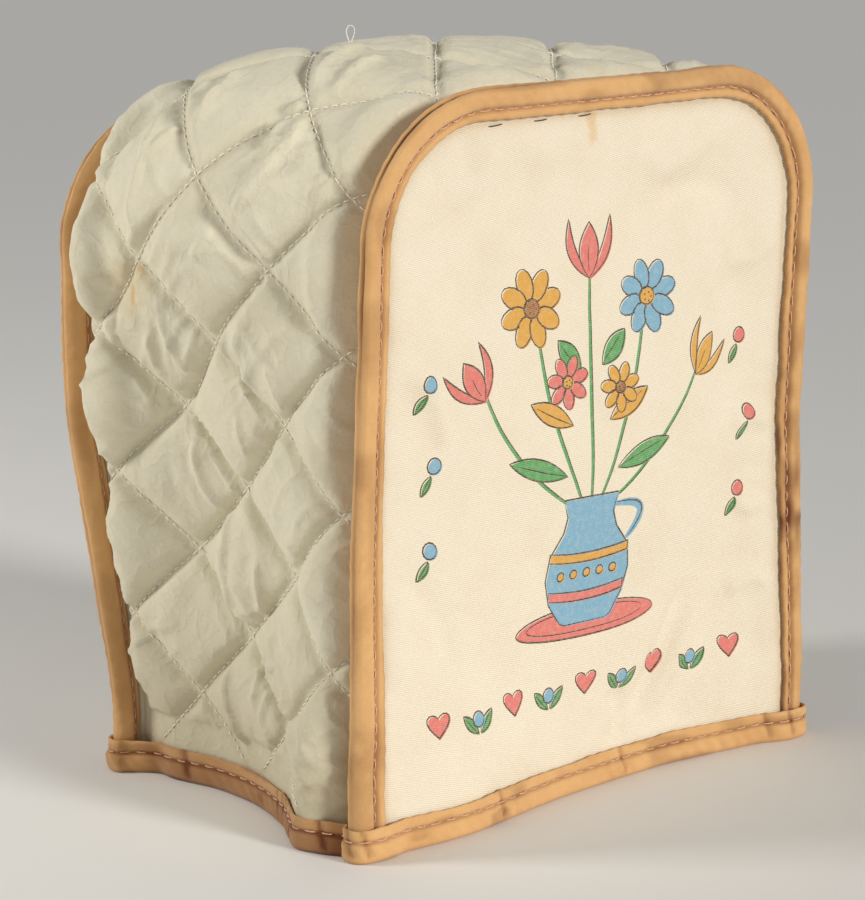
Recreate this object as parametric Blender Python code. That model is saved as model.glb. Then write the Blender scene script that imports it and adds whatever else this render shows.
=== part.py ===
"""Quilted cover for a kitchen can opener: a boxy cloth hood that stands on its bound hem.

A flat canvas front and back are joined by one quilted strip (the gusset), which runs up the
left side, over the top and down the right side.  Both seams stand outwards and are wrapped in
folded tape, and a third tape closes the hem.  Front is -Y, +Z is up, and the origin is the
middle of the base.  Lengths below are in millimetres and become metres when a mesh is made.
"""

import math
from collections import namedtuple

import bpy
from mathutils import Vector

MM = 0.001

# ---- cloth and tape -------------------------------------------------------------------------
GAP = 0.35               # air between neighbouring pieces
CANVAS = 1.2             # thickness of the front and back cloth
QUILT_SEAM = 1.6         # quilted cloth where it is squeezed into a seam
QUILT_FLAT = 2.0         # quilted cloth at its stitched lines and inside the hem
TAPE = 1.2               # wall of the folded tape
TAPE_LEG = 10.4          # fold to free edge of a seam tape
TAPE_SWELL = 0.5         # how far a seam tape puffs up beside its stitches
STITCH = 7.2             # fold to stitch line, where the gusset turns away
CLOTH_TIP = 3.4          # fold to the raw edges inside the tape
SEAM_DEPTH = 11.5        # fold to where a panel is free to move
TURN_RADIUS = 3.0        # the gusset's turn out of the seam
HEM_HEIGHT = 11.0        # height of the hem tape
HEM_CHAMFER = 0.9        # rounding of the hem tape's underside
HEM_SWELL = 0.5          # how far the hem tape swells below its stitches
HEM_SWELL_HEIGHT = 4.0
HEM_MITRE = 1.4          # the most that the hem tape reaches out at a bend, for its distance

CLOTH_FOOT = TAPE + GAP                       # the cloths stop just above the hem tape's floor
SEAM_STACK = CANVAS + GAP + QUILT_SEAM        # panel and gusset edge lying together
STACK_MIDDLE = SEAM_STACK / 2 - CANVAS / 2    # middle of the stack, from the panel's middle
CAVITY = SEAM_STACK / 2 + GAP                 # half of the room inside a seam tape
GUSSET_FACE = STACK_MIDDLE + SEAM_STACK / 2   # outer face of the gusset's seam edge
TURN_CENTRE = GUSSET_FACE + TURN_RADIUS

# ---- the two seam folds, seen from the front --------------------------------------------------
Corner = namedtuple("Corner", "x z radius")

FRONT_FOLD = (
    Corner(-91.6, CLOTH_FOOT, 0),
    Corner(-91.6, 24, 120),
    Corner(-87.0, 105, 400),
    Corner(-81.8, 232.2, 48),
    Corner(20, 233.4, 900),
    Corner(110.6, 235.0, 45),
    Corner(105.4, 116, 180),
    Corner(110.4, 26, 120),
    Corner(110.4, CLOTH_FOOT, 0),
)
BACK_FOLD = (
    Corner(-96.2, CLOTH_FOOT, 0),
    Corner(-96.2, 24, 120),
    Corner(-109.0, 122, 260),
    Corner(-109.0, 219.0, 46),
    Corner(0, 226.5, 600),
    Corner(97.5, 221.0, 44),
    Corner(98.5, 110, 300),
    Corner(101.5, 26, 120),
    Corner(101.5, CLOTH_FOOT, 0),
)

# ---- depth of the two panels ------------------------------------------------------------------
FRONT_DEPTH = -56.6
BACK_DEPTH = 58.5
BACK_LEAN = 5.0          # the back stands further out at mid height
LEAN_HEIGHT = 150.0
FOOT_REACH = 95.0        # height over which the hem's dents die out
PLUMB_HEIGHT = 16.0      # the cloth hangs plumb below this height

# The bound edges lean away from the cover: slope, for rows along a seam (0 left, 1 right hem).
Lean = namedtuple("Lean", "along slope")

SEAM_LEAN = (
    Lean(0.0, -0.12), Lean(0.09, 0.06), Lean(0.18, 0.22), Lean(0.30, 0.25), Lean(0.50, 0.36),
    Lean(0.70, 0.28), Lean(0.84, 0.22), Lean(0.93, 0.08), Lean(1.0, 0.0),
)

Dent = namedtuple("Dent", "x depth")

FRONT_HEM = (
    Dent(-80, -6.6), Dent(-64, -7.1), Dent(-48, -7.3), Dent(-28, -4.0), Dent(-7, 0.2),
    Dent(13, 2.4), Dent(32, 3.8), Dent(51, 4.4), Dent(69, 2.7), Dent(86, 1.0), Dent(98, -1.4),
)
BACK_HEM = (
    Dent(-84, 3.5), Dent(-55, 5.0), Dent(-15, -0.5), Dent(25, -3.0), Dent(60, 0.5),
    Dent(88, 3.0),
)

Dimple = namedtuple("Dimple", "x z width height depth")

FRONT_DIMPLES = (
    Dimple(8, 120, 95, 80, -3.0),
    Dimple(-50, 176, 30, 26, 2.6),
    Dimple(28, 186, 26, 30, 2.4),
    Dimple(70, 60, 22, 34, 2.6),
    Dimple(30, 40, 20, 30, -1.8),
    Dimple(-45, 60, 34, 44, 2.0),
    Dimple(80, 150, 18, 44, 1.6),
)
BACK_DIMPLES = (
    Dimple(-5, 125, 90, 75, 4.0),
    Dimple(45, 165, 32, 30, -2.2),
    Dimple(-55, 80, 34, 40, -2.0),
)
DIMPLE_EASE = 0.2        # share of a panel's width and height over which they die out

# ---- the quilted strip ------------------------------------------------------------------------
# How far the strip's outer side stands out from a straight line between the two folds, at five
# places across its depth, for rows along its length (0 at the left hem, 1 at the right hem).
Form = namedtuple("Form", "along h12 h30 h50 h70 h88")

GUSSET_FORM = (
    Form(0.00, 4.0, -6.0, -13.2, -14.2, -10.0),
    Form(0.04, 0.0, -8.0, -13.0, -11.5, -8.0),
    Form(0.09, -3.0, -10.0, -14.0, -15.0, -9.0),
    Form(0.13, -4.0, -10.5, -14.5, -16.5, -9.5),
    Form(0.17, -3.5, -8.5, -13.0, -15.5, -9.0),
    Form(0.21, -2.5, -5.0, -8.0, -11.5, -8.0),
    Form(0.25, -1.5, -1.0, 0.5, -1.5, -2.5),
    Form(0.30, -0.5, 4.5, 8.5, 8.0, 3.0),
    Form(0.36, 1.0, 7.5, 12.0, 12.0, 6.0),
    Form(0.43, 2.5, 9.5, 12.5, 12.0, 6.0),
    Form(0.50, 2.0, 8.5, 11.5, 11.0, 5.0),
    Form(0.57, 0.5, 5.0, 7.5, 7.0, 2.5),
    Form(0.65, -1.5, 1.5, 3.0, 2.5, -0.5),
    Form(0.72, -3.0, -1.0, 0.5, 0.0, -2.5),
    Form(0.82, -4.5, -5.5, -6.0, -5.0, -4.5),
    Form(0.92, -5.0, -8.0, -9.5, -8.0, -6.0),
    Form(1.00, -3.0, -9.0, -11.5, -10.0, -7.0),
)
FORM_PLACES = (0.12, 0.30, 0.50, 0.70, 0.88)

PUFF = 3.6               # rise of a diamond over its stitched lines
PUFF_MEAN = 0.4          # share of that rise that the form's level already holds
PUFF_END = 1.5           # steps over which the diamonds die out above the hem
DIAMOND_HALF_LENGTH = 24.5
DIAMOND_HALF_WIDTH = 24.4
DIAMOND_LENGTH_START = 30.0      # a crossing of stitched lines, along the strip
DIAMOND_DEPTH_START = 27.0       # and its depth

# ---- finishes ----------------------------------------------------------------------------------
MUSLIN = (0.80, 0.78, 0.66, 1)
NATURAL = (0.85, 0.78, 0.62, 1)
TAN = (0.75, 0.47, 0.22, 1)
CLOTH_ROUGHNESS = 0.9

# ---- mesh density -------------------------------------------------------------------------------
STATIONS = 44            # along the strip and its two tapes
SIDE_STATIONS = 15       # of these, from a foot to the middle of a top corner
BODY_STEPS = 14          # across the strip's outer side
LINING_STEPS = BODY_STEPS // 2   # across its inner side
PATH_STEP = 1.0          # between points on the rounded corners

Place = namedtuple("Place", "x z nx nz along")
Piece = namedtuple("Piece", "name colour points faces")


# ---- curves -------------------------------------------------------------------------------------
def smooth(value):
    """Ease from 0 to 1 as value goes from 0 to 1."""
    value = min(1.0, max(0.0, value))
    return value * value * (3 - 2 * value)


def curve_through(places, values, at):
    """Smooth curve through (place, value) pairs, level beyond its ends."""
    at = min(places[-1], max(places[0], at))
    k = max(i for i in range(len(places) - 1) if places[i] <= at)
    span = places[k + 1] - places[k]
    rise = values[k + 1] - values[k]

    def slope(i):
        if i in (0, len(places) - 1):
            return 0.0
        return (values[i + 1] - values[i - 1]) / (places[i + 1] - places[i - 1])

    t = (at - places[k]) / span
    start = slope(k) * span - rise
    end = rise - slope(k + 1) * span
    return values[k] + t * rise + t * (1 - t) * ((1 - t) * start + t * end)


def rounded_path(corners):
    """Fine points along a line of corners, each rounded to its radius."""
    path = [Vector((corners[0].x, corners[0].z))]
    for before, corner, after in zip(corners, corners[1:], corners[2:]):
        apex = Vector((corner.x, corner.z))
        back = (Vector((before.x, before.z)) - apex).normalized()
        ahead = (Vector((after.x, after.z)) - apex).normalized()
        half = back.angle(ahead) / 2
        start = apex + back * (corner.radius / math.tan(half))
        centre = apex + (back + ahead).normalized() * (corner.radius / math.sin(half))
        turn = math.pi - 2 * half
        sign = 1 if back.x * ahead.y - back.y * ahead.x < 0 else -1
        spoke = start - centre
        steps = max(2, round(corner.radius * turn / PATH_STEP))
        for i in range(steps + 1):
            angle = sign * turn * i / steps
            cos, sin = math.cos(angle), math.sin(angle)
            path.append(centre + Vector((spoke.x * cos - spoke.y * sin,
                                         spoke.x * sin + spoke.y * cos)))
    path.append(Vector((corners[-1].x, corners[-1].z)))
    return path


def stations(corners):
    """Even places along a rounded path, with their outward directions."""
    path = rounded_path(corners)
    reach = [0.0]
    for a, b in zip(path, path[1:]):
        reach.append(reach[-1] + (b - a).length)
    places = []
    leg = 0
    for i in range(STATIONS + 1):
        at = reach[-1] * i / STATIONS
        while leg < len(path) - 2 and reach[leg + 1] < at:
            leg += 1
        way = (path[leg + 1] - path[leg]).normalized()
        point = path[leg] + way * (at - reach[leg])
        places.append(Place(point.x, point.y, -way.y, way.x, at))
    return places


# ---- panels and seams -----------------------------------------------------------------------------
def foot_share(z, reach):
    """1 at the plumb hem, fading to 0 at the given height."""
    return 1 - smooth((z - PLUMB_HEIGHT) / reach)


def front_depth(x, z):
    """Depth of the front cloth's middle, without its dimples."""
    dent = curve_through([d.x for d in FRONT_HEM], [d.depth for d in FRONT_HEM], x)
    return FRONT_DEPTH + dent * foot_share(z, FOOT_REACH)


def back_depth(x, z):
    """Depth of the back cloth's middle, without its dimples."""
    dent = curve_through([d.x for d in BACK_HEM], [d.depth for d in BACK_HEM], x)
    lean = BACK_LEAN * smooth((z - PLUMB_HEIGHT) / (LEAN_HEIGHT - PLUMB_HEIGHT))
    return BACK_DEPTH + lean + dent * foot_share(z, FOOT_REACH)


def plumb_along(i):
    """Share of a seam's length at a station; the first and last steps hang plumb."""
    return min(1.0, max(0.0, (i - 1) / (STATIONS - 2)))


class Seam:
    """One bound seam: its fold line, its panel's depth and the side on which the gusset lies."""

    def __init__(self, corners, depth, inward):
        self.places = stations(corners)
        self.depth = depth
        self.inward = inward

    def point(self, i, down, offset):
        """A point at a station, so far down from the fold and so far from the panel's middle."""
        place = self.places[i]
        root_x, root_z = place.x - place.nx * SEAM_DEPTH, place.z - place.nz * SEAM_DEPTH
        slope = curve_through([row.along for row in SEAM_LEAN],
                              [row.slope for row in SEAM_LEAN], plumb_along(i))
        away = offset - (SEAM_DEPTH - down) * slope
        y = self.depth(root_x, root_z) + self.inward * away
        return Vector((place.x - place.nx * down, y, place.z - place.nz * down))


FRONT = Seam(FRONT_FOLD, front_depth, 1)
BACK = Seam(BACK_FOLD, back_depth, -1)


def seam_arc(radius, degrees):
    """Down and offset of a point on the gusset's turn, from the seam's edge (0) to plumb (90)."""
    angle = math.radians(degrees)
    return STITCH + radius * math.sin(angle), TURN_CENTRE - radius * math.cos(angle)


# ---- the quilted strip ------------------------------------------------------------------------
def form_level(i, across):
    """The strip's outer level at a station and a share of its depth, before its diamonds."""
    along = plumb_along(i)
    rows = [row.along for row in GUSSET_FORM]
    levels = [curve_through(rows, [row[k + 1] for row in GUSSET_FORM], along)
              for k in range(len(FORM_PLACES))]
    root = -(STITCH + TURN_RADIUS)
    if across < FORM_PLACES[0]:
        return root + (levels[0] - root) * math.sin(across / FORM_PLACES[0] * math.pi / 2)
    if across > FORM_PLACES[-1]:
        share = (1 - across) / (1 - FORM_PLACES[-1])
        return root + (levels[-1] - root) * math.sin(share * math.pi / 2)
    return curve_through(FORM_PLACES, levels, across)


def diamond(length, depth):
    """Height of the quilting: 0 on a stitched line, 1 in the middle of a diamond."""
    a = (length - DIAMOND_LENGTH_START) / DIAMOND_HALF_LENGTH
    b = (depth - DIAMOND_DEPTH_START) / DIAMOND_HALF_WIDTH
    ridge = abs(math.sin(math.pi * (a + b) / 2) * math.sin(math.pi * (a - b) / 2))
    return math.sqrt(ridge)


def strip_point(i, across, inner):
    """A point of the strip between its two turns, on its outer or inner side."""
    start = FRONT.point(i, *seam_arc(TURN_RADIUS, 90))
    end = BACK.point(i, *seam_arc(TURN_RADIUS, 90))
    a, b = FRONT.places[i], BACK.places[i]
    y = start.y + (end.y - start.y) * across
    out = Vector((a.nx + (b.nx - a.nx) * across, 0, a.nz + (b.nz - a.nz) * across)).normalized()
    base = Vector((a.x + (b.x - a.x) * across, y, a.z + (b.z - a.z) * across))
    edge = smooth(min(across, 1 - across) / FORM_PLACES[0])
    ends = smooth(min(i - 1, STATIONS - 1 - i) / PUFF_END)
    level = form_level(i, across)
    if inner:
        level -= PUFF * PUFF_MEAN * edge * ends + QUILT_FLAT
    else:
        level += PUFF * (diamond(a.along, y) - PUFF_MEAN) * edge * ends
    return base + out * level


def outer_side(i):
    """Points of the strip's outer side between its turns, front to back."""
    return [strip_point(i, k / BODY_STEPS, False) for k in range(1, BODY_STEPS)]


def inner_side(i):
    """Points of its inner side, from the end of one turn to the start of the other."""
    turned = seam_arc(TURN_RADIUS + QUILT_SEAM, 90)
    middle = [strip_point(i, k / LINING_STEPS, True) for k in range(1, LINING_STEPS)]
    return [FRONT.point(i, *turned)] + middle + [BACK.point(i, *turned)]


def strip_section(i):
    """The strip's closed section at a station: outer side front to back, then inner side."""
    turn_out = [(CLOTH_TIP, GUSSET_FACE), (STITCH, GUSSET_FACE)]
    turn_out += [seam_arc(TURN_RADIUS, a) for a in (45, 90)]
    turn_in = [(CLOTH_TIP, GUSSET_FACE - QUILT_SEAM), (STITCH, GUSSET_FACE - QUILT_SEAM)]
    section = [FRONT.point(i, *p) for p in turn_out]
    section += outer_side(i)
    section += [BACK.point(i, *p) for p in reversed(turn_out)]
    section += [BACK.point(i, *p) for p in turn_in]
    section += reversed(inner_side(i))
    section += [FRONT.point(i, *p) for p in reversed(turn_in)]
    return section


# ---- tapes ----------------------------------------------------------------------------------------
def seam_tape_profile():
    """Closed profile of a seam tape as (down, offset): outer side, then the side on the cloth."""
    near, far = STACK_MIDDLE - CAVITY, STACK_MIDDLE + CAVITY
    swell_down = (STITCH + CLOTH_TIP) / 2
    fold = CAVITY + TAPE
    outer = [(TAPE_LEG, near - TAPE), (STITCH, near - TAPE + GAP / 2)]
    outer += [(swell_down, near - TAPE - TAPE_SWELL)]
    outer += [(CLOTH_TIP - fold * math.cos(a), STACK_MIDDLE + fold * math.sin(a))
              for a in (-math.pi / 4, 0, math.pi / 4)]
    outer += [(swell_down, far + TAPE + TAPE_SWELL / 2), (STITCH, far + TAPE)]
    outer += [seam_arc(TURN_RADIUS - GAP - TAPE, 45)]
    inner = [seam_arc(TURN_RADIUS - GAP, 45), (STITCH, far), (CLOTH_TIP - GAP / 2, far)]
    inner += [(CLOTH_TIP - CAVITY, STACK_MIDDLE)]
    inner += [(CLOTH_TIP - GAP / 2, near), (STITCH, near), (TAPE_LEG, near)]
    return outer + inner


def seam_tape_section(seam, i):
    """A seam tape's closed section at a station."""
    return [seam.point(i, *p) for p in seam_tape_profile()]


# ---- panel cloth ------------------------------------------------------------------------------------
def dimple_relief(dimples, x, z):
    """Sum of soft round hollows and swells."""
    total = 0.0
    for d in dimples:
        spread = ((x - d.x) / d.width) ** 2 + ((z - d.z) / d.height) ** 2
        total += d.depth * math.exp(-spread)
    return total


def panel_grid(seam, dimples):
    """The cloth's middle as points and faces: a patch inside the seam, then its edge strips."""
    side, top = SIDE_STATIONS - 1, STATIONS - 2 * SIDE_STATIONS
    ring = [seam.point(i, SEAM_DEPTH, 0) for i in range(STATIONS + 1)]
    left = ring[1:side + 2]
    crown = ring[side + 1:side + top + 2]
    right = list(reversed(ring[side + top + 1:STATIONS]))
    sill = [left[0].lerp(right[0], k / top) for k in range(top + 1)]
    points = []
    for j in range(side + 1):
        v = j / side
        for k in range(top + 1):
            u = k / top
            p = left[j].lerp(right[j], u) + sill[k].lerp(crown[k], v)
            p -= left[0].lerp(right[0], u).lerp(left[-1].lerp(right[-1], u), v)
            if 0 < k < top and j < side:
                ease = smooth(min(u, 1 - u) / DIMPLE_EASE) * smooth(min(v, 1 - v) / DIMPLE_EASE)
                p.y = seam.depth(p.x, p.z) + ease * dimple_relief(dimples, p.x, p.z)
            points.append(p)
    width = top + 1
    faces = [(a, a + 1, a + 1 + width, a + width)
             for j in range(side) for a in range(j * width, j * width + top)]
    rim = [j * width for j in range(side + 1)] + [side * width + k for k in range(1, width)]
    rim += [j * width + top for j in reversed(range(side))]
    foot = []
    for k in range(width):
        under = points[k].copy()
        under.z = CLOTH_FOOT
        foot.append(len(points))
        points.append(under)
    faces += [(foot[k], foot[k + 1], k + 1, k) for k in range(top)]
    rim = [foot[0]] + rim + [foot[-1]]
    for down in (STITCH, CLOTH_TIP):
        edge = []
        for i in range(STATIONS + 1):
            edge.append(len(points))
            points.append(seam.point(i, down, 0))
        faces += [(edge[i], rim[i], rim[i + 1], edge[i + 1]) for i in range(STATIONS)]
        rim = edge
    return points, faces, foot


def thicken(points, faces, half, facing):
    """Closed sheet on both sides of a faced grid that looks along facing (-1 or +1 in Y)."""
    count = len(points)
    solid = [p + Vector((0, facing * half, 0)) for p in points]
    solid += [p - Vector((0, facing * half, 0)) for p in points]
    edges = set()
    for face in faces:
        edges.update(zip(face, face[1:] + face[:1]))
    skin = list(faces) + [tuple(count + k for k in reversed(face)) for face in faces]
    skin += [(b, a, a + count, b + count) for a, b in edges if (b, a) not in edges]
    return solid, skin


# ---- hem tape -----------------------------------------------------------------------------------------
HemRow = namedtuple("HemRow", "down offset")

HEM_AROUND_SEAM = (           # the hem tape's way round the foot of a bound seam
    HemRow(19.0, -0.6), HemRow(11.3, -2.3), HemRow(6.8, -2.9), HemRow(2.8, -2.6),
    HemRow(0.7, -1.3), HemRow(0.0, 0.95), HemRow(0.7, 3.2), HemRow(3.2, 4.7),
)
INSIDE_CORNER = HemRow(19.0, 7.0)     # centre of the bend that the tape makes inside a corner
INSIDE_BEND = HemRow(4.5, 6.4)        # and that bend's two half widths


def beside_panel(seam, i, foot_line, row):
    """A plan point at a corner, measured from the panel cloth where it is free of the seam."""
    point = seam.point(i, *row)
    for a, b in zip(foot_line, foot_line[1:]):
        if a.x <= point.x <= b.x:
            line_y = a.y + (b.y - a.y) * (point.x - a.x) / (b.x - a.x)
            point.y = line_y + seam.inward * row.offset
    return point


def corner_rows(seam, i, foot_line):
    """Outer and inner cloth points for the hem tape at one corner, from panel to side."""
    rows = []
    last = len(HEM_AROUND_SEAM) - 1
    for k, row in enumerate(HEM_AROUND_SEAM):
        angle = math.pi / 2 * k / last
        inside = HemRow(INSIDE_CORNER.down - INSIDE_BEND.down * math.sin(angle),
                        INSIDE_CORNER.offset - INSIDE_BEND.offset * math.cos(angle))
        rows.append((beside_panel(seam, i, foot_line, row),
                     beside_panel(seam, i, foot_line, inside)))
    return rows


def side_rows(i):
    """Outer and inner cloth points of the strip at a foot, from front to back."""
    inner = inner_side(i)
    halfway = [a.lerp(b, 0.5) for a, b in zip(inner, inner[1:])]
    inner = [p for pair in zip(inner, halfway) for p in pair][1:]
    return list(zip(outer_side(i), inner))


def panel_rows(foot_line, facing):
    """Outer and inner cloth points of a panel's foot between its corners, from left to right."""
    out = Vector((0, facing * CANVAS / 2, 0))
    return [(point + out, point - out) for point in foot_line[1:-1]]


def grown(loop, distance):
    """A closed plan outline (counter-clockwise) moved outwards by a distance."""
    moved = []
    for before, point, after in zip(loop[-1:] + loop[:-1], loop, loop[1:] + loop[:1]):
        a = (point - before).to_2d().normalized()
        b = (after - point).to_2d().normalized()
        out = Vector((a.y + b.y, -a.x - b.x)).normalized()
        stretch = 1 / max(1 / HEM_MITRE, out.dot(Vector((a.y, -a.x))))
        moved.append(Vector((point.x, point.y)) + out * distance * stretch)
    return moved


def hem_tape_sections(front_line, back_line):
    """The hem tape's closed sections, round the base from the front's left end."""
    rows = list(reversed(corner_rows(FRONT, 0, front_line)))
    rows += panel_rows(front_line, -1)
    rows += corner_rows(FRONT, STATIONS, front_line)
    rows += side_rows(STATIONS)
    rows += list(reversed(corner_rows(BACK, STATIONS, back_line)))
    rows += list(reversed(panel_rows(back_line, 1)))
    rows += corner_rows(BACK, 0, back_line)
    rows += list(reversed(side_rows(0)))
    outer = [row[0] for row in rows]
    inner = [row[1] for row in rows]
    slot_out, slot_in = grown(outer, GAP), grown(inner, -GAP)
    skin_out, skin_in = grown(outer, GAP + TAPE), grown(inner, -GAP - TAPE)
    swell = grown(outer, GAP + TAPE + HEM_SWELL)
    sole_out = grown(outer, GAP + TAPE - HEM_CHAMFER)
    sections = []
    for k in range(len(rows)):
        around = (
            (slot_out[k], HEM_HEIGHT), (slot_out[k], TAPE), (slot_in[k], TAPE),
            (slot_in[k], HEM_HEIGHT), (skin_in[k], HEM_HEIGHT), (skin_in[k], 0),
            (sole_out[k], 0), (skin_out[k], HEM_CHAMFER),
            (swell[k], HEM_SWELL_HEIGHT), (skin_out[k], HEM_HEIGHT),
        )
        sections.append([Vector((p.x, p.y, z)) for p, z in around])
    return sections


# ---- solids ------------------------------------------------------------------------------------------
def loft(sections, closed):
    """Skin through closed sections; open lofts get their two ends."""
    points = [p for section in sections for p in section]
    size, count = len(sections[0]), len(sections)
    faces = []
    for i in range(count if closed else count - 1):
        here, there = i * size, (i + 1) % count * size
        for k in range(size):
            n = (k + 1) % size
            faces.append((here + k, here + n, there + n, there + k))
    if not closed:
        faces.append(tuple(reversed(range(size))))
        faces.append(tuple((count - 1) * size + k for k in range(size)))
    return points, faces


def outward(points, faces):
    """Faces turned so that the closed mesh has a positive volume."""
    volume = 0.0
    for face in faces:
        for k in range(1, len(face) - 1):
            a, b, c = points[face[0]], points[face[k]], points[face[k + 1]]
            volume += a.dot(b.cross(c))
    return faces if volume > 0 else [tuple(reversed(face)) for face in faces]


def build_pieces():
    """All pieces of the cover, in millimetres."""
    front_points, front_faces, front_foot = panel_grid(FRONT, FRONT_DIMPLES)
    back_points, back_faces, back_foot = panel_grid(BACK, BACK_DIMPLES)
    hem = hem_tape_sections([front_points[k] for k in front_foot],
                            [back_points[k] for k in back_foot])
    every = range(STATIONS + 1)
    shapes = (
        ("front_panel", NATURAL, thicken(front_points, front_faces, CANVAS / 2, -1)),
        ("back_panel", NATURAL, thicken(back_points, back_faces, CANVAS / 2, 1)),
        ("gusset", MUSLIN, loft([strip_section(i) for i in every], False)),
        ("front_binding", TAN, loft([seam_tape_section(FRONT, i) for i in every], False)),
        ("back_binding", TAN, loft([seam_tape_section(BACK, i) for i in every], False)),
        ("hem_binding", TAN, loft(hem, True)),
    )
    return [Piece(name, colour, points, outward(points, faces))
            for name, colour, (points, faces) in shapes]


def clear_scene():
    """Remove every object."""
    for item in list(bpy.data.objects):
        bpy.data.objects.remove(item, do_unlink=True)


def make_object(piece, shift):
    """One named object with its own material, moved so that the base is centred."""
    mesh = bpy.data.meshes.new(piece.name)
    mesh.from_pydata([(p + shift) * MM for p in piece.points], [], piece.faces)
    mesh.update()
    finish = bpy.data.materials.new(piece.name + "_cloth")
    finish.use_nodes = True
    shader = finish.node_tree.nodes["Principled BSDF"]
    shader.inputs["Base Color"].default_value = piece.colour
    shader.inputs["Roughness"].default_value = CLOTH_ROUGHNESS
    shader.inputs["Metallic"].default_value = 0.0
    mesh.materials.append(finish)
    bpy.context.collection.objects.link(bpy.data.objects.new(piece.name, mesh))


def main():
    """Build the cover with its origin in the middle of its base."""
    clear_scene()
    pieces = build_pieces()
    xs = [p.x for piece in pieces for p in piece.points]
    ys = [p.y for piece in pieces for p in piece.points]
    shift = Vector((-(min(xs) + max(xs)) / 2, -(min(ys) + max(ys)) / 2, 0))
    for piece in pieces:
        make_object(piece, shift)


main()
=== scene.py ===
"""Looks of a quilted can opener cover: puffed cloth, folded tape, stitches, a printed front.

The shapes repeat the rules of the frame's solids at a finer step, in millimetres, and become
metres when a mesh is made.  Front is -Y and +Z is up.  A share of 0 to 1 along a seam runs from
the foot of the left side, over the top, to the foot of the right side.
"""

import logging
import math
from dataclasses import dataclass, field, replace
from enum import Enum
from typing import Any, Callable, Sequence

import bpy
import numpy as np
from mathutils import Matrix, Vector
from mathutils.geometry import delaunay_2d_cdt


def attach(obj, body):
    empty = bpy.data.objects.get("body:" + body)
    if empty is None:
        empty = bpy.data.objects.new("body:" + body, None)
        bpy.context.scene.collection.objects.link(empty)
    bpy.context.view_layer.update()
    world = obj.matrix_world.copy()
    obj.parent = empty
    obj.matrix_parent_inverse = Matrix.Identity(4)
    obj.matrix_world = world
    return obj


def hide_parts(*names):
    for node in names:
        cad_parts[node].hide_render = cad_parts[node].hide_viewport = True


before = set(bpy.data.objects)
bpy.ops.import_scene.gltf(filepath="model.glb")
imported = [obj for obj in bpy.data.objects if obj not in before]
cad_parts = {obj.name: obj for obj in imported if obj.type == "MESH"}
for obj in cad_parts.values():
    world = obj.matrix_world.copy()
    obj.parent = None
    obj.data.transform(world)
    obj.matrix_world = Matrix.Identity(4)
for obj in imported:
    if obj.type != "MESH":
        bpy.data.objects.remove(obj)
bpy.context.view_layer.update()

LOG = logging.getLogger("cover")
# Short names for the types that many hints repeat.
Array = np.ndarray
Point = tuple[float, float]
Triple = tuple[float, float, float]
Colour = tuple[float, float, float, float]
Pairs = list[tuple[Array, Array]]
Material, Object = bpy.types.Material, bpy.types.Object
Node, NodeTree, Socket = bpy.types.Node, bpy.types.NodeTree, bpy.types.NodeSocket

MM = 0.001
BODY = "root"
BASE_MIDDLE = np.array([1.911, 0.429, 0.0])     # where the frame has its origin


class Slot(Enum):
    """Material slots of the record."""
    CANVAS = "natural_canvas"
    MUSLIN = "quilted_muslin"
    TAPE = "tan_tape"


class Facing(Enum):
    """Which way a panel looks: its outward direction along Y."""
    FRONT = -1
    BACK = 1


# ---- the cut ----
@dataclass(frozen=True)
class Sewing:
    """Thicknesses and seam sizes that the pieces share."""
    gap: float = 0.35
    canvas: float = 1.2
    quilt_seam: float = 1.6
    quilt_flat: float = 2.0
    tape: float = 1.2
    tape_leg: float = 10.4
    tape_swell: float = 0.5
    stitch: float = 7.2
    cloth_tip: float = 3.4
    seam_depth: float = 11.5
    turn_radius: float = 3.0
    hem_height: float = 11.0

    @property
    def foot(self) -> float:
        """Height at which the cloths end inside the hem tape."""
        return self.tape + self.gap

    @property
    def midway(self) -> float:
        """Middle of the way from the cloth's tip to the stitches."""
        return (self.stitch + self.cloth_tip) / 2

    @property
    def stack(self) -> float:
        """Thickness of a panel and the strip's edge lying together."""
        return self.canvas + self.gap + self.quilt_seam

    @property
    def stack_middle(self) -> float:
        """Middle of that stack, from the panel's middle."""
        return self.stack / 2 - self.canvas / 2

    @property
    def cavity(self) -> float:
        """Half of the room inside a seam tape."""
        return self.stack / 2 + self.gap

    @property
    def strip_face(self) -> float:
        """Outer face of the strip's seam edge, from the panel's middle."""
        return self.stack_middle + self.stack / 2


SEW = Sewing()


@dataclass(frozen=True)
class Corner:
    """A corner of a seam's fold line, seen from the front."""
    x: float
    z: float
    radius: float


FRONT_FOLD = (
    Corner(-91.6, SEW.foot, 0), Corner(-91.6, 24, 120), Corner(-87.0, 105, 400),
    Corner(-81.8, 232.2, 48), Corner(20, 233.4, 900), Corner(110.6, 235.0, 45),
    Corner(105.4, 116, 180), Corner(110.4, 26, 120), Corner(110.4, SEW.foot, 0),
)
BACK_FOLD = (
    Corner(-96.2, SEW.foot, 0), Corner(-96.2, 24, 120), Corner(-109.0, 122, 260),
    Corner(-109.0, 219.0, 46), Corner(0, 226.5, 600), Corner(97.5, 221.0, 44),
    Corner(98.5, 110, 300), Corner(101.5, 26, 120), Corner(101.5, SEW.foot, 0),
)
STEPS = 44                # the frame's stations along a seam; its end steps hang plumb
FRONT_DEPTH = -56.6
BACK_DEPTH = 58.5
BACK_LEAN = 5.0
LEAN_HEIGHT = 150.0
FOOT_REACH = 95.0
PLUMB_HEIGHT = 16.0

# Slope with which the bound edges lean away from the cover: place along the seam, slope.
SEAM_LEAN = ((0.0, -0.12), (0.09, 0.06), (0.18, 0.22), (0.30, 0.25), (0.50, 0.36),
             (0.70, 0.28), (0.84, 0.22), (0.93, 0.08), (1.0, 0.0))
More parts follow.
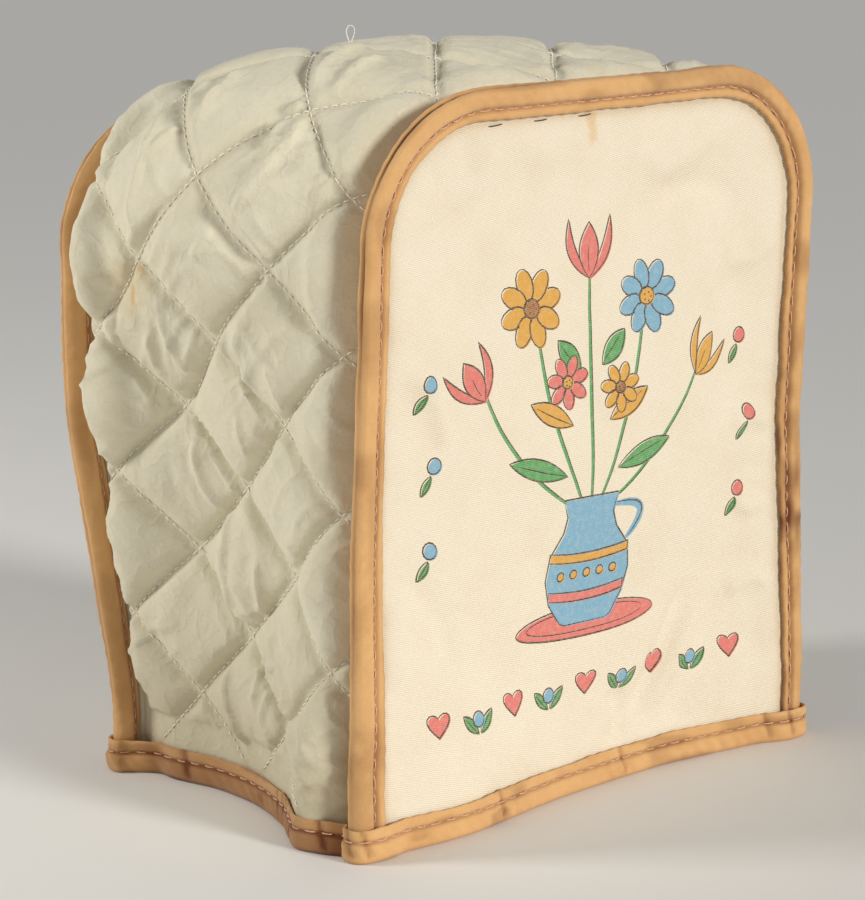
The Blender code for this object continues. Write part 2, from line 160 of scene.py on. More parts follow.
# Dents of the two panels at the hem: place across, depth.
FRONT_HEM = ((-80, -6.6), (-64, -7.1), (-48, -7.3), (-28, -4.0), (-7, 0.2), (13, 2.4),
             (32, 3.8), (51, 4.4), (69, 2.7), (86, 1.0), (98, -1.4))
BACK_HEM = ((-84, 3.5), (-55, 5.0), (-15, -0.5), (25, -3.0), (60, 0.5), (88, 3.0))
# Height of the strip's outer side over a line between the folds, at five places across its
# depth, for places along its length.
FORM_PLACES = (0.12, 0.30, 0.50, 0.70, 0.88)
STRIP_FORM = (
    (0.00, 4.0, -6.0, -13.2, -14.2, -10.0), (0.04, 0.0, -8.0, -13.0, -11.5, -8.0),
    (0.09, -3.0, -10.0, -14.0, -15.0, -9.0), (0.13, -4.0, -10.5, -14.5, -16.5, -9.5),
    (0.17, -3.5, -8.5, -13.0, -15.5, -9.0), (0.21, -2.5, -5.0, -8.0, -11.5, -8.0),
    (0.25, -1.5, -1.0, 0.5, -1.5, -2.5), (0.30, -0.5, 4.5, 8.5, 8.0, 3.0),
    (0.36, 1.0, 7.5, 12.0, 12.0, 6.0), (0.43, 2.5, 9.5, 12.5, 12.0, 6.0),
    (0.50, 2.0, 8.5, 11.5, 11.0, 5.0), (0.57, 0.5, 5.0, 7.5, 7.0, 2.5),
    (0.65, -1.5, 1.5, 3.0, 2.5, -0.5), (0.72, -3.0, -1.0, 0.5, 0.0, -2.5),
    (0.82, -4.5, -5.5, -6.0, -5.0, -4.5), (0.92, -5.0, -8.0, -9.5, -8.0, -6.0),
    (1.00, -3.0, -9.0, -11.5, -10.0, -7.0),
)
# How far the puffs beside the two seams bulge: place along, front, back.
EDGE_PUFF = ((0.0, 0.0, 0.0), (0.035, 0.0, 0.0), (0.07, 2.5, 5.5), (0.12, 3.5, 6.5),
             (0.17, 4.0, 8.5), (0.21, 4.0, 10.5), (0.26, 4.0, 9.5), (0.31, 3.2, 6.0),
             (0.45, 1.2, 2.2), (0.65, 1.0, 1.8), (0.93, 1.2, 1.5), (0.965, 0.0, 0.0),
             (1.0, 0.0, 0.0))
# Share of the quilting's full puff, along the strip: it lies flatter over the top.
FULLNESS = ((0.0, 1.0), (0.2, 1.0), (0.27, 0.72), (0.34, 0.48), (0.62, 0.48), (0.72, 0.85),
            (1.0, 1.0))
# The hem tape's way round the foot of a bound seam: down from the fold, off the panel's middle.
HEM_AROUND_SEAM = ((19.0, -0.6), (11.3, -2.3), (6.8, -2.9), (2.8, -2.6), (0.7, -1.3),
                   (0.0, 0.95), (0.7, 3.2), (3.2, 4.7))
# Its inner side makes a quarter turn there: centre and half-axes.
INSIDE_CORNER = (19.0, 7.0)
INSIDE_BEND = (4.5, 6.4)


@dataclass(frozen=True)
class Dimple:
    """A soft round hollow or swell of a panel (places in x and z)."""
    x: float
    z: float
    width: float
    height: float
    depth: float


@dataclass(frozen=True)
class Crease:
    """A ridge (positive height) or a trough along a line of cloth places."""
    height: float
    width: float
    route: tuple[Point, ...]


def crease_table(*rows: Sequence[float]) -> tuple[Crease, ...]:
    """Creases from rows of height, width, then the first and second coordinate of each place."""
    return tuple(Crease(row[0], row[1], tuple(zip(row[2::2], row[3::2]))) for row in rows)


FRONT_DIMPLES = (
    Dimple(8, 120, 95, 80, -3.0), Dimple(-50, 176, 30, 26, 2.6), Dimple(28, 186, 26, 30, 2.4),
    Dimple(70, 60, 22, 34, 2.6), Dimple(30, 40, 20, 30, -1.8), Dimple(-45, 60, 34, 44, 2.0),
    Dimple(80, 150, 18, 44, 1.6), Dimple(-49, 206, 15, 11, 1.5), Dimple(5, 204, 24, 10, 1.2),
    Dimple(73, 178, 20, 9, 1.1), Dimple(55, 100, 16, 26, -0.9), Dimple(-60, 110, 16, 30, 1.0),
)
BACK_DIMPLES = (
    Dimple(-5, 125, 90, 75, 4.0), Dimple(45, 165, 32, 30, -2.2), Dimple(-55, 80, 34, 40, -2.0),
    Dimple(10, 60, 20, 26, 1.4), Dimple(-40, 180, 18, 22, 1.2),
)
FRONT_CREASES = crease_table(
    (0.9, 5.0, 30, 200, 50, 206, 66, 214),
    (-0.9, 6.0, 34, 192, 58, 195, 80, 188),
    (0.8, 4.0, 94, 176, 80, 170, 66, 172),
    (-1.0, 4.5, 60, 66, 48, 44, 30, 16),
    (0.9, 4.0, 66, 58, 54, 38, 40, 18),
    (-1.1, 4.0, 24, 34, 28, 20, 27, 8),
    (0.8, 3.5, 93, 112, 84, 116, 72, 114),
    (0.8, 3.0, 93, 86, 84, 84, 76, 88),
    (0.8, 3.0, 95, 57, 86, 60, 74, 56),
    (0.7, 4.0, -66, 150, -54, 138, -50, 120),
    (-0.8, 5.0, -70, 84, -56, 70, -50, 50),
    (0.6, 4.0, -30, 216, -36, 204, -50, 196),
)
BACK_CREASES = crease_table(
    (0.9, 4.5, -80, 150, -60, 138, -40, 140),
    (-0.9, 5.0, 84, 90, 60, 84, 40, 66),
    (0.8, 4.0, 20, 16, 26, 40, 44, 58),
)
# The strip's creases: their places are the length from the left foot, and the depth.
STRIP_CREASES = crease_table(
    (1.2, 2.4, 220, 28, 211, 23, 202, 23, 191, 24, 184, 24),
    (0.9, 1.8, 215, 15, 210, 19, 205, 21),
    (-1.0, 2.2, 212, 12, 202, 12, 193, 15, 188, 20),
    (0.9, 2.0, 229, 16, 220, 17),
    (1.2, 2.2, 226, 7, 215, 8),
    (1.0, 2.0, 234, 10, 226, 8, 218, 8),
    (-2.4, 3.0, 232, -14, 224, -14, 216, -15, 210, -14),
    (1.6, 1.8, 231, -17, 223, -18, 215, -18, 209, -21),
    (1.5, 2.0, 226, -22, 214, -24, 205, -21, 195, -16, 190, -13),
    (-1.1, 1.8, 219, -26, 210, -27, 202, -25),
    (1.5, 2.4, 260, -11, 245, -13, 231, -18),
    (1.3, 2.2, 256, -21, 242, -23, 231, -25),
    (-1.2, 2.2, 258, -16, 244, -18, 233, -22),
    (1.1, 2.2, 189, -7, 179, 0),
    (-1.4, 2.4, 177, 23, 167, 17),
    (1.1, 1.8, 162, 21, 153, 21, 146, 20, 140, 15),
    (1.1, 1.8, 153, 29, 144, 30, 139, 28, 134, 21),
    (-0.9, 1.8, 157, 25, 148, 26, 140, 23),
    (1.2, 1.9, 160, -6, 149, -3, 140, -7, 129, -14),
    (1.0, 1.8, 159, -12, 150, -11, 139, -15, 130, -19),
    (1.0, 2.0, 150, -22, 139, -25, 131, -26),
    (1.0, 2.0, 133, 21, 124, 24, 119, 21, 113, 12),
    (0.8, 2.0, 130, -4, 116, -4),
    (1.2, 2.0, 118, 23, 108, 22, 103, 20, 94, 14),
    (1.0, 2.0, 88, 12, 73, 12, 61, 7),
    (1.0, 2.0, 80, 22, 69, 17, 58, 9),
    (1.2, 1.9, 99, 8, 77, 10, 65, 8, 55, 4),
    (-1.4, 2.2, 86, -1, 68, -2, 59, -2),
    (1.2, 1.8, 84, -6, 72, -6, 60, -5),
    (1.5, 1.6, 44, 9, 32, 9, 14, 6),
    (1.0, 2.0, 47, -5, 36, -4, 30, -6),
    (1.0, 2.0, 42, -11, 30, -8, 20, -15),
    (0.9, 2.2, 94, -23, 86, -30),
    (0.9, 3.2, 61, -18, 47, -18),
    (-1.2, 3.0, 80, -46, 65, -41),
    (-1.3, 2.4, 171, 47, 166, 42, 172, 38),
)


CREASE_TAPER = 0.22       # share of a crease over which it fades out at each end
CREASE_END = 0.15         # share of its height that is left there


# ---- curves and noise ----
def smooth(value: Any) -> Any:
    """Ease from 0 to 1 as value goes from 0 to 1."""
    value = np.clip(value, 0.0, 1.0)
    return value * value * (3 - 2 * value)


def bell(value: Any, width: float) -> Any:
    """Round peak of height 1 at 0 that falls off within a width."""
    return np.exp(-(value / width) ** 2)


def curve_through(places: Sequence[float], values: Any, at: Any) -> Array:
    """Smooth curve through places and values, level beyond its ends.

    Args:
        places: Rising places of the known values.
        values: One value, or one row of values, for each place.
        at: Places to read.

    Returns:
        The values there, with the shape of at followed by that of a row.
    """
    spots, rows = np.asarray(places, float), np.asarray(values, float)
    at = np.clip(np.asarray(at, float), spots[0], spots[-1])
    slope = np.zeros_like(rows)
    reach = (spots[2:] - spots[:-2]).reshape((-1,) + (1,) * (rows.ndim - 1))
    slope[1:-1] = (rows[2:] - rows[:-2]) / reach
    k = np.clip(np.searchsorted(spots, at, side="right") - 1, 0, len(spots) - 2)
    wide = at.shape + (1,) * (rows.ndim - 1)
    span = (spots[k + 1] - spots[k]).reshape(wide)
    t = ((at - spots[k]) / (spots[k + 1] - spots[k])).reshape(wide)
    rise = rows[k + 1] - rows[k]
    start, end = slope[k] * span - rise, rise - slope[k + 1] * span
    return rows[k] + t * rise + t * (1 - t) * ((1 - t) * start + t * end)


def read_table(table: Sequence[Sequence[float]], at: Any) -> Array:
    """Smooth reading of a table, whose rows start with their place."""
    rows = np.array(table, float)
    return curve_through(rows[:, 0], rows[:, 1] if rows.shape[1] == 2 else rows[:, 1:], at)


class Ripple:
    """Smooth seeded noise over a plane, from -1 to 1, with cells one unit wide."""

    SIZE = 64

    def __init__(self, seed: int) -> None:
        """Draw the lattice from a seed."""
        self.lattice = np.random.RandomState(seed).uniform(-1, 1, (self.SIZE, self.SIZE))

    def __call__(self, u: Any, v: Any = 0.0) -> Array:
        """Read the noise.

        Args:
            u: First coordinate.
            v: Second coordinate.

        Returns:
            The noise, with the shape that u and v make together.
        """
        u, v = np.broadcast_arrays(np.asarray(u, float), np.asarray(v, float))
        iu, iv = np.floor(u).astype(int), np.floor(v).astype(int)
        fu, fv = smooth(u - iu), smooth(v - iv)
        a, b = iu % self.SIZE, (iu + 1) % self.SIZE
        c, d = iv % self.SIZE, (iv + 1) % self.SIZE
        low = self.lattice[a, c] * (1 - fu) + self.lattice[b, c] * fu
        high = self.lattice[a, d] * (1 - fu) + self.lattice[b, d] * fu
        return low * (1 - fv) + high * fv


def softened(values: Array, reach: int) -> Array:
    """Values of a grid averaged over nearby rows and columns.

    Args:
        values: A grid of numbers.
        reach: How many rows and columns count on each side.

    Returns:
        A grid of the same shape.
    """
    weights = np.hanning(2 * reach + 3)[1:-1]
    weights /= weights.sum()
    for _ in (0, 1):
        padded = np.pad(values, ((reach, reach), (0, 0)), mode="edge")
        values = sum(w * padded[k:k + len(values)] for k, w in enumerate(weights)).T
    return values


def near_route(places: Array, route: Sequence[Point]) -> tuple[Array, Array]:
    """How far places lie from a line of points, and how far along it.

    Args:
        places: Places of the shape (..., 2).
        route: The line's points.

    Returns:
        The distance, and the share of the line's length at the nearest point.
    """
    points = np.asarray(route, float)
    legs = np.hypot(*(points[1:] - points[:-1]).T)
    reach = np.concatenate([[0], np.cumsum(legs)])
    best = np.full(places.shape[:-1], 1e9)
    share = np.zeros(places.shape[:-1])
    for k, leg in enumerate(legs):
        way = (points[k + 1] - points[k]) / leg
        t = np.clip(((places - points[k]) * way).sum(-1), 0, leg)
        away = np.linalg.norm(places - points[k] - t[..., None] * way, axis=-1)
        closer = away < best
        best = np.where(closer, away, best)
        share = np.where(closer, (reach[k] + t) / reach[-1], share)
    return best, share


def crease_relief(places: Array, creases: Sequence[Crease], crisp: bool = False) -> Array:
    """Sum of ridges and troughs that fade out at their ends.

    Args:
        places: Cloth places of the shape (..., 2).
        creases: The creases.
        crisp: Whether their crests are sharp and high and their troughs wide, as on fine cloth.

    Returns:
        The height at each place.
    """
    total = np.zeros(places.shape[:-1])
    for crease in creases:
        away, share = near_route(places, crease.route)
        taper = smooth(np.minimum(share, 1 - share) / CREASE_TAPER)
        taper = taper * (1 - CREASE_END) + CREASE_END
        reach = away / crease.width
        form = bell(reach, 1.0)
        if crisp and crease.height > 0:
            form = 1.7 * np.exp(-1.5 * (np.hypot(reach, 0.15) - 0.15))
        elif crisp:
            form = 0.7 * bell(reach, 1.6)
        total += crease.height * taper * form
    return total


def inside(points: Array, outline: Array) -> Array:
    """Whether flat points lie inside a closed outline (even-odd rule).

    Args:
        points: Points of the shape (n, 2).
        outline: The outline's points, in order.

    Returns:
        True for each point inside.
    """
    result = np.zeros(len(points), bool)
    x, y = points[:, 0], points[:, 1]
    for (ax, ay), (bx, by) in zip(outline, np.roll(outline, -1, axis=0)):
        if ay == by:
            continue
        cross = (ay > y) != (by > y)
        result ^= cross & (x < (bx - ax) * (y - ay) / (by - ay) + ax)
    return result


# ---- seams ----
def rounded_path(corners: Sequence[Corner]) -> Array:
    """Fine points along a line of corners, each rounded to its radius.

    Args:
        corners: The corners, from foot to foot.

    Returns:
        Points in x and z.
    """
    places = np.array([(c.x, c.z) for c in corners], float)
    path = [places[:1]]
    for k in range(1, len(corners) - 1):
        back = places[k - 1] - places[k]
        ahead = places[k + 1] - places[k]
        back, ahead = back / np.hypot(*back), ahead / np.hypot(*ahead)
        half = math.acos(float(back @ ahead)) / 2
        radius = corners[k].radius
        start = places[k] + back * radius / math.tan(half)
        middle = (back + ahead) / np.hypot(*(back + ahead))
        centre = places[k] + middle * radius / math.sin(half)
        turn = (math.pi - 2 * half) * (1 if back[0] * ahead[1] - back[1] * ahead[0] < 0 else -1)
        angle = turn * np.linspace(0, 1, max(3, round(radius * abs(turn)) + 1))
        spoke = start - centre
        path.append(centre + np.stack([spoke[0] * np.cos(angle) - spoke[1] * np.sin(angle),
                                       spoke[0] * np.sin(angle) + spoke[1] * np.cos(angle)], -1))
    path.append(places[-1:])
    return np.vstack(path)


def foot_share(z: Any) -> Any:
    """1 at the plumb hem, fading to 0 above it."""
    return 1 - smooth((z - PLUMB_HEIGHT) / FOOT_REACH)


def front_depth(x: Any, z: Any) -> Any:
    """Depth of the front cloth's middle."""
    return FRONT_DEPTH + read_table(FRONT_HEM, x) * foot_share(z)


def back_depth(x: Any, z: Any) -> Any:
    """Depth of the back cloth's middle."""
    lean = BACK_LEAN * smooth((z - PLUMB_HEIGHT) / (LEAN_HEIGHT - PLUMB_HEIGHT))
    return BACK_DEPTH + lean + read_table(BACK_HEM, x) * foot_share(z)


def plumb_along(share: Any) -> Any:
    """Share of a seam's length without its two plumb end steps."""
    return np.clip((share * STEPS - 1) / (STEPS - 2), 0, 1)


class Seam:
    """One bound seam: its fold line, its panel's depth and the side on which the strip lies."""

    def __init__(self, corners: Sequence[Corner], depth: Callable[[Any, Any], Any],
                 facing: Facing) -> None:
        """Measure the fold line.

        Args:
            corners: Corners of the fold line.
            depth: Depth of the panel's middle at x and z.
            facing: Which way the panel looks.
        """
        self.path = rounded_path(corners)
        legs = np.diff(self.path, axis=0)
        lengths = np.hypot(*legs.T)
        way = legs / lengths[:, None]
        turn = np.vstack([way[:1], way[:-1] + way[1:], way[-1:]])
        turn /= np.hypot(*turn.T)[:, None]
        self.out = np.stack([-turn[:, 1], turn[:, 0]], -1)
        self.reach = np.concatenate([[0], np.cumsum(lengths)])
        self.length = float(self.reach[-1])
        self.depth = depth
        self.inward = -facing.value

    def place(self, share: Array) -> tuple[Array, Array]:
        """Fold points and outward directions.

        Args:
            share: Places along the seam.

        Returns:
            Points and unit directions, both in x and z.
        """
        at = share * self.length
        point = np.stack([np.interp(at, self.reach, self.path[:, k]) for k in (0, 1)], -1)
        out = np.stack([np.interp(at, self.reach, self.out[:, k]) for k in (0, 1)], -1)
        return point, out / np.linalg.norm(out, axis=-1, keepdims=True)

    def point(self, share: Any, down: Any, offset: Any) -> Array:
        """Points so far down from the fold and so far from the panel's middle.

        Args:
            share: Places along the seam.
            down: Distance from the fold towards the middle of the panel.
            offset: Distance from the panel's middle towards the strip.

        Returns:
            Points of the shape (..., 3).
        """
        share, down, offset = np.broadcast_arrays(
            np.asarray(share, float), np.asarray(down, float), np.asarray(offset, float))
        point, out = self.place(share)
        root = point - out * SEW.seam_depth
        slope = read_table(SEAM_LEAN, plumb_along(share))
        away = offset - (SEW.seam_depth - down) * slope
        y = self.depth(root[..., 0], root[..., 1]) + self.inward * away
        flat = point - out * down[..., None]
        return np.stack([flat[..., 0], y, flat[..., 1]], -1)


FRONT = Seam(FRONT_FOLD, front_depth, Facing.FRONT)
BACK = Seam(BACK_FOLD, back_depth, Facing.BACK)


def seam_arc(radius: float, degrees: Any) -> tuple[Any, Any]:
    """Down and offset on the strip's turn, from the seam's edge (0) to plumb (90)."""
    angle, centre = np.radians(degrees), SEW.strip_face + SEW.turn_radius
    return SEW.stitch + radius * np.sin(angle), centre - radius * np.cos(angle)


# ---- meshes ----
def unit(vectors: Array) -> Array:
    """Vectors brought to the length 1."""
    return vectors / np.maximum(np.linalg.norm(vectors, axis=-1, keepdims=True), 1e-9)


def grid_normals(grid: Array) -> Array:
    """Normals of a grid of points: its first direction crossed with its second."""
    return unit(np.cross(np.gradient(grid, axis=0), np.gradient(grid, axis=1)))


def read_grid(grid: Array, i: Array, j: Array) -> Array:
    """Values of a grid between its rows and columns.

    Args:
        grid: Grid of the shape (rows, columns, n).
        i: Places in rows.
        j: Places in columns.

    Returns:
        Values of the shape (..., n).
    """
    i = np.clip(i, 0, grid.shape[0] - 1.001)
    j = np.clip(j, 0, grid.shape[1] - 1.001)
    a, b = i.astype(int), j.astype(int)
    s, t = (i - a)[..., None], (j - b)[..., None]
    low = grid[a, b] * (1 - s) + grid[a + 1, b] * s
    high = grid[a, b + 1] * (1 - s) + grid[a + 1, b + 1] * s
    return low * (1 - t) + high * t


@dataclass
class Shell:
    """A mesh in the making: points, faces and a cloth place for each corner of each face.

    The tint is printed ink for each corner; each point's darkening from 0 to 1 is painted
    shade with some soil.
    """
    points: Array
    faces: list[tuple[int, ...]]
    chart: list[Point]
    tint: list[Colour] | None = None
    dust: Array | None = None

    def outward(self) -> "Shell":
        """Turn every face over if the closed shell is inside out.

        Returns:
            This shell.
        """
        total = 0.0
        for face in self.faces:
            corner = self.points[list(face)]
            total += float(np.einsum("ij,ij->", np.cross(corner[1:-1], corner[2:]),
                                     np.broadcast_to(corner[0], corner[2:].shape)))
        if total < 0:
            start, chart, tint = 0, [], []
            for face in self.faces:
                chart += self.chart[start:start + len(face)][::-1]
                if self.tint:
                    tint += self.tint[start:start + len(face)][::-1]
                start += len(face)
            self.faces = [tuple(reversed(face)) for face in self.faces]
            self.chart, self.tint = chart, tint or None
        return self


def loft(sections: Array, along: Array, around: Array, ring: bool = False) -> Shell:
    """Closed skin through closed sections.

    Args:
        sections: Points of the shape (sections, points, 3).
        along: Cloth place of each section, with one more at the end of a ring.
        around: Cloth place of each point of a section, with one more at the end.
        ring: Whether the last section joins the first.

    Returns:
        The shell, with its ends closed unless it is a ring.
    """
    count, size = sections.shape[:2]
    faces: list[tuple[int, ...]] = []
    chart: list[Point] = []
    for i in range(count if ring else count - 1):
        here, there = i * size, (i + 1) % count * size
        for k in range(size):
            n = (k + 1) % size
            faces.append((here + k, here + n, there + n, there + k))
            a, b, c, d = along[i], along[i + 1], around[k], around[k + 1]
            chart += [(a, c), (a, d), (b, d), (b, c)]
    if not ring:
        faces += [tuple(reversed(range(size))), tuple((count - 1) * size + k for k in range(size))]
        chart += [(along[0], c) for c in around[:size][::-1]]
        chart += [(along[-1], c) for c in around[:size]]
    return Shell(sections.reshape(-1, 3), faces, chart)


def arc_lengths(points: Array, closed: bool = True) -> Array:
    """Length travelled at each point of a line, with the way back to its start if it is closed."""
    line = np.vstack([points, points[:1]]) if closed else points
    return np.concatenate([[0], np.cumsum(np.linalg.norm(np.diff(line, axis=0), axis=1))])


def make_piece(name: str, shell: Shell, finish: Material, slot: Slot, node: str = "") -> Object:
    """Make a mesh object in the frame's place, dressed and riding on the cover's body.

    Args:
        name: The piece's name.
        shell: Its mesh in millimetres.
        finish: Its material.
        slot: The record's slot that the finish belongs to.
        node: The frame's node that it replaces, if any.

    Returns:
        The new object.
    """
    mesh = bpy.data.meshes.new(name)
    mesh.from_pydata(((shell.points - BASE_MIDDLE) * MM).tolist(), [], shell.faces)
    chart = mesh.uv_layers.new(name="cloth")
    chart.data.foreach_set("uv", np.asarray(shell.chart, np.float32).ravel())
    if shell.tint:
        tint = mesh.color_attributes.new("ink", "FLOAT_COLOR", "CORNER")
        tint.data.foreach_set("color", np.asarray(shell.tint, np.float32).ravel())
    # Each point's painted shade, with some soil, goes into a darkening attribute.
    if shell.dust is not None:
        dust = mesh.attributes.new("dust", "FLOAT", "POINT")
        dust.data.foreach_set("value", np.clip(shell.dust, 0, 1).astype(np.float32).ravel())
    mesh.shade_smooth()
    mesh.materials.append(finish)
    piece = enlist(bpy.data.objects.new(name, mesh), slot)
    if node:
        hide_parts(node)
    return piece


def enlist(piece: Object, slot: Slot) -> Object:
    """Link a finished piece, put it on the cover's body and report it.

    Args:
        piece: The finished object.
        slot: The record's slot that its finish belongs to; not used.

    Returns:
        The same object.
    """
    bpy.context.collection.objects.link(piece)
    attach(piece, BODY)
    LOG.info("%s: %d faces", piece.name, len(piece.data.polygons))
    return piece


# ---- node trees ----
class Tree:
    """A node tree that short calls put together."""

    def __init__(self, tree: NodeTree) -> None:
        """Take over a tree to build in."""
        self.tree = tree

    def add(self, kind: str, feeds: dict[Any, Any] | None = None, **settings: Any) -> Node:
        """Add a node.

        Args:
            kind: The node's type.
            feeds: What its inputs get, by name or number: a socket to link, or a value.
            settings: The node's own properties.

        Returns:
            The node.
        """
        node = self.tree.nodes.new(kind)
        for key, value in settings.items():
            setattr(node, key, value)
        for key, value in (feeds or {}).items():
            if isinstance(value, Socket):
                self.tree.links.new(value, node.inputs[key])
            else:
                node.inputs[key].default_value = value
        return node

    def math(self, operation: str, *values: Any) -> Socket:
        """Result of a math node on sockets or numbers."""
        return self.add("ShaderNodeMath", dict(enumerate(values)), operation=operation).outputs[0]

    def times(self, first: Any, second: Any) -> Socket:
        """Product of two sockets or numbers."""
        return self.math("MULTIPLY", first, second)

    def times_add(self, first: Any, second: Any, more: Any) -> Socket:
        """Product of the first two, plus the third."""
        return self.math("MULTIPLY_ADD", first, second, more)

    def mix(self, factor: Any, low: Any, high: Any, blend: str = "MIX") -> Socket:
        """Colour between two colours, or the second one blended onto the first."""
        return self.add("ShaderNodeMix", {0: factor, 6: low, 7: high}, data_type="RGBA",
                        blend_type=blend).outputs[2]

    def ramp(self, value: Any, low: float, high: float, bottom: float = 0.0,
             top: float = 1.0) -> Socket:
        """A value eased from bottom to top as it goes from low to high."""
        return self.add("ShaderNodeMapRange", {0: value, 1: low, 2: high, 3: bottom, 4: top},
                        interpolation_type="SMOOTHSTEP").outputs[0]

    def noise(self, vector: Any, scale: float, detail: float = 2.0,
              roughness: float = 0.5) -> Socket:
        """A noise texture's value, around 0.5."""
        return self.add("ShaderNodeTexNoise", {"Vector": vector, "Scale": scale, "Detail": detail,
                                               "Roughness": roughness}).outputs[0]

    def vector(self, operation: str, *values: Any) -> Node:
        """A vector math node on sockets or vectors."""
        return self.add("ShaderNodeVectorMath", dict(enumerate(values)), operation=operation)

    def group(self, group: NodeTree, feeds: dict[str, Any]) -> Node:
        """A node that holds a group, with its inputs fed."""
        return self.add("ShaderNodeGroup", feeds, node_tree=group)

    def out(self, node: Node, **values: Any) -> None:
        """Feed the tree's output node, underscores standing for spaces."""
        for key, value in values.items():
            self.tree.links.new(value, node.inputs[key.replace("_", " ")])


def shader_group(name: str, inputs: dict[str, Any], outputs: dict[str, str]
                 ) -> tuple[Tree, dict[str, Socket], Node]:
    """Start a shader group.

    Args:
        name: Its name.
        inputs: Input names with a number, a colour or a vector (None) as their start value.
        outputs: Output names with Float or Color.

    Returns:
        The tree, its inputs' sockets by name and its output node.
    """
    group = bpy.data.node_groups.new(name, "ShaderNodeTree")
    for key, value in inputs.items():
        kind = "Vector" if value is None else "Color" if isinstance(value, tuple) else "Float"
        socket = group.interface.new_socket(key, in_out="INPUT", socket_type="NodeSocket" + kind)
        if value is not None:
            socket.default_value = value
    for key, kind in outputs.items():
        group.interface.new_socket(key, in_out="OUTPUT", socket_type="NodeSocket" + kind)
    tree = Tree(group)
    start = tree.add("NodeGroupInput").outputs
    return tree, {key: start[key] for key in inputs}, tree.add("NodeGroupOutput")


def weave_group() -> NodeTree:
    """Woven cloth: raised threads in slanting lines of beads, with gaps darkened as painted shade.

    Returns:
        A group from a cloth place to the weave's height and its gaps.
    """
    tree, start, end = shader_group(
        "cloth_weave", {"Cloth": None, "Slant": 0.5, "Line": 0.9, "Bead": 0.8, "Unevenness": 0.3},
        {"Height": "Float", "Gap": "Float"})
    wander = tree.noise(start["Cloth"], 0.35)
    x, y = tree.add("ShaderNodeSeparateXYZ", {0: start["Cloth"]}).outputs[:2]
    cos, sin = tree.math("COSINE", start["Slant"]), tree.math("SINE", start["Slant"])
    across = tree.math("ADD", tree.times(x, sin), tree.times(y, cos))
    length = tree.math("SUBTRACT", tree.times(x, cos), tree.times(y, sin))
    lines = tree.math("ADD", tree.math("DIVIDE", across, start["Line"]),
                      tree.times(wander, start["Unevenness"]))
    beads = tree.math("ADD", tree.math("DIVIDE", length, start["Bead"]), tree.times(lines, 0.5))
    line, bead = (tree.times_add(tree.math("SINE", tree.times(turns, math.tau)), 0.5, 0.5)
                  for turns in (lines, beads))
    height = tree.times(line, tree.times_add(bead, 0.55, 0.45))
    grain = tree.noise(start["Cloth"], 1.6, 3.0, 0.6)
    height = tree.times(height, tree.times_add(grain, 0.6, 0.7))
    tree.out(end, Height=height, Gap=tree.ramp(height, 0.02, 0.34, 1.0, 0.0))
    return tree.tree


def stain_group() -> NodeTree:
    """A soft stain with a ragged edge.

    Returns:
        A group from a cloth place to the stain's mask.
    """
    tree, start, end = shader_group(
        "stain", {"Cloth": None, "Centre": None, "Half Size": None, "Raggedness": 0.5,
                  "Strength": 1.0}, {"Mask": "Float"})
    offset = tree.vector("SUBTRACT", start["Cloth"], start["Centre"]).outputs[0]
    scaled = tree.vector("DIVIDE", offset, start["Half Size"]).outputs[0]
    length = tree.vector("LENGTH", scaled).outputs["Value"]
    blur = tree.math("SUBTRACT", tree.noise(start["Cloth"], 0.16, 4.0, 0.6), 0.5)
    reach = tree.math("ADD", length, tree.times(tree.times(blur, start["Raggedness"]), 3.0))
    mask = tree.times(tree.ramp(reach, 0.2, 1.0, 1.0, 0.0), start["Strength"])
    tree.out(end, Mask=mask)
    return tree.tree


def mottle_group() -> NodeTree:
    """Uneven colour of washed cotton: broad clouds and fine slubs.

    Returns:
        A group from a cloth place and a colour to the uneven colour and a fine height.
    """
    tree, start, end = shader_group(
        "washed_cotton", {"Cloth": None, "Color": (0.8, 0.8, 0.8, 1), "Aged": (0.6, 0.5, 0.4, 1),
                          "Clouds": 0.2, "Slubs": 0.3, "Crumple": 0.0},
        {"Color": "Color", "Height": "Float"})
    cloth = start["Cloth"]
    cloud = tree.ramp(tree.noise(cloth, 0.045, 4.0, 0.6), 0.35, 0.75)
    colour = tree.mix(tree.times(cloud, start["Clouds"]), start["Color"], start["Aged"])
    threads = []
    for scale in ((0.35, 2.4, 1), (2.4, 0.35, 1)):
        drawn = tree.add("ShaderNodeMapping", {"Vector": cloth, "Scale": scale}).outputs[0]
        threads.append(tree.noise(drawn, 1.0))
    slub = tree.times(tree.math("ADD", *threads), 0.5)
    tone = tree.times_add(tree.math("SUBTRACT", slub, 0.5), start["Slubs"], 1.0)
    grey = tree.add("ShaderNodeCombineColor", {0: tone, 1: tone, 2: tone})
    folds = []
    for scale, power in ((0.11, 5.0), (0.27, 4.0)):
        swing = tree.math("ABSOLUTE", tree.times_add(tree.noise(cloth, scale, 1.0), 4.0, -2.0))
        crest = tree.math("MAXIMUM", tree.math("SUBTRACT", 1.0, swing), 0.0)
        folds.append(tree.math("POWER", crest, power))
    crumple = tree.times(tree.times_add(folds[1], 0.5, folds[0]), start["Crumple"])
    tree.out(end, Color=tree.mix(1.0, colour, grey.outputs[0], "MULTIPLY"),
             Height=tree.times_add(slub, 0.6, crumple))
    return tree.tree


# ---- finishes ----
def srgb(red: float, green: float, blue: float) -> Colour:
    """Linear colour of display values from 0 to 255."""
    return tuple(((v / 255 + 0.055) / 1.055) ** 2.4 for v in (red, green, blue)) + (1.0,)


@dataclass(frozen=True)
class Blot:
    """A stain at a cloth place."""
    centre: Point
    half: Point
    strength: float
    colour: Colour
    ragged: float = 0.6


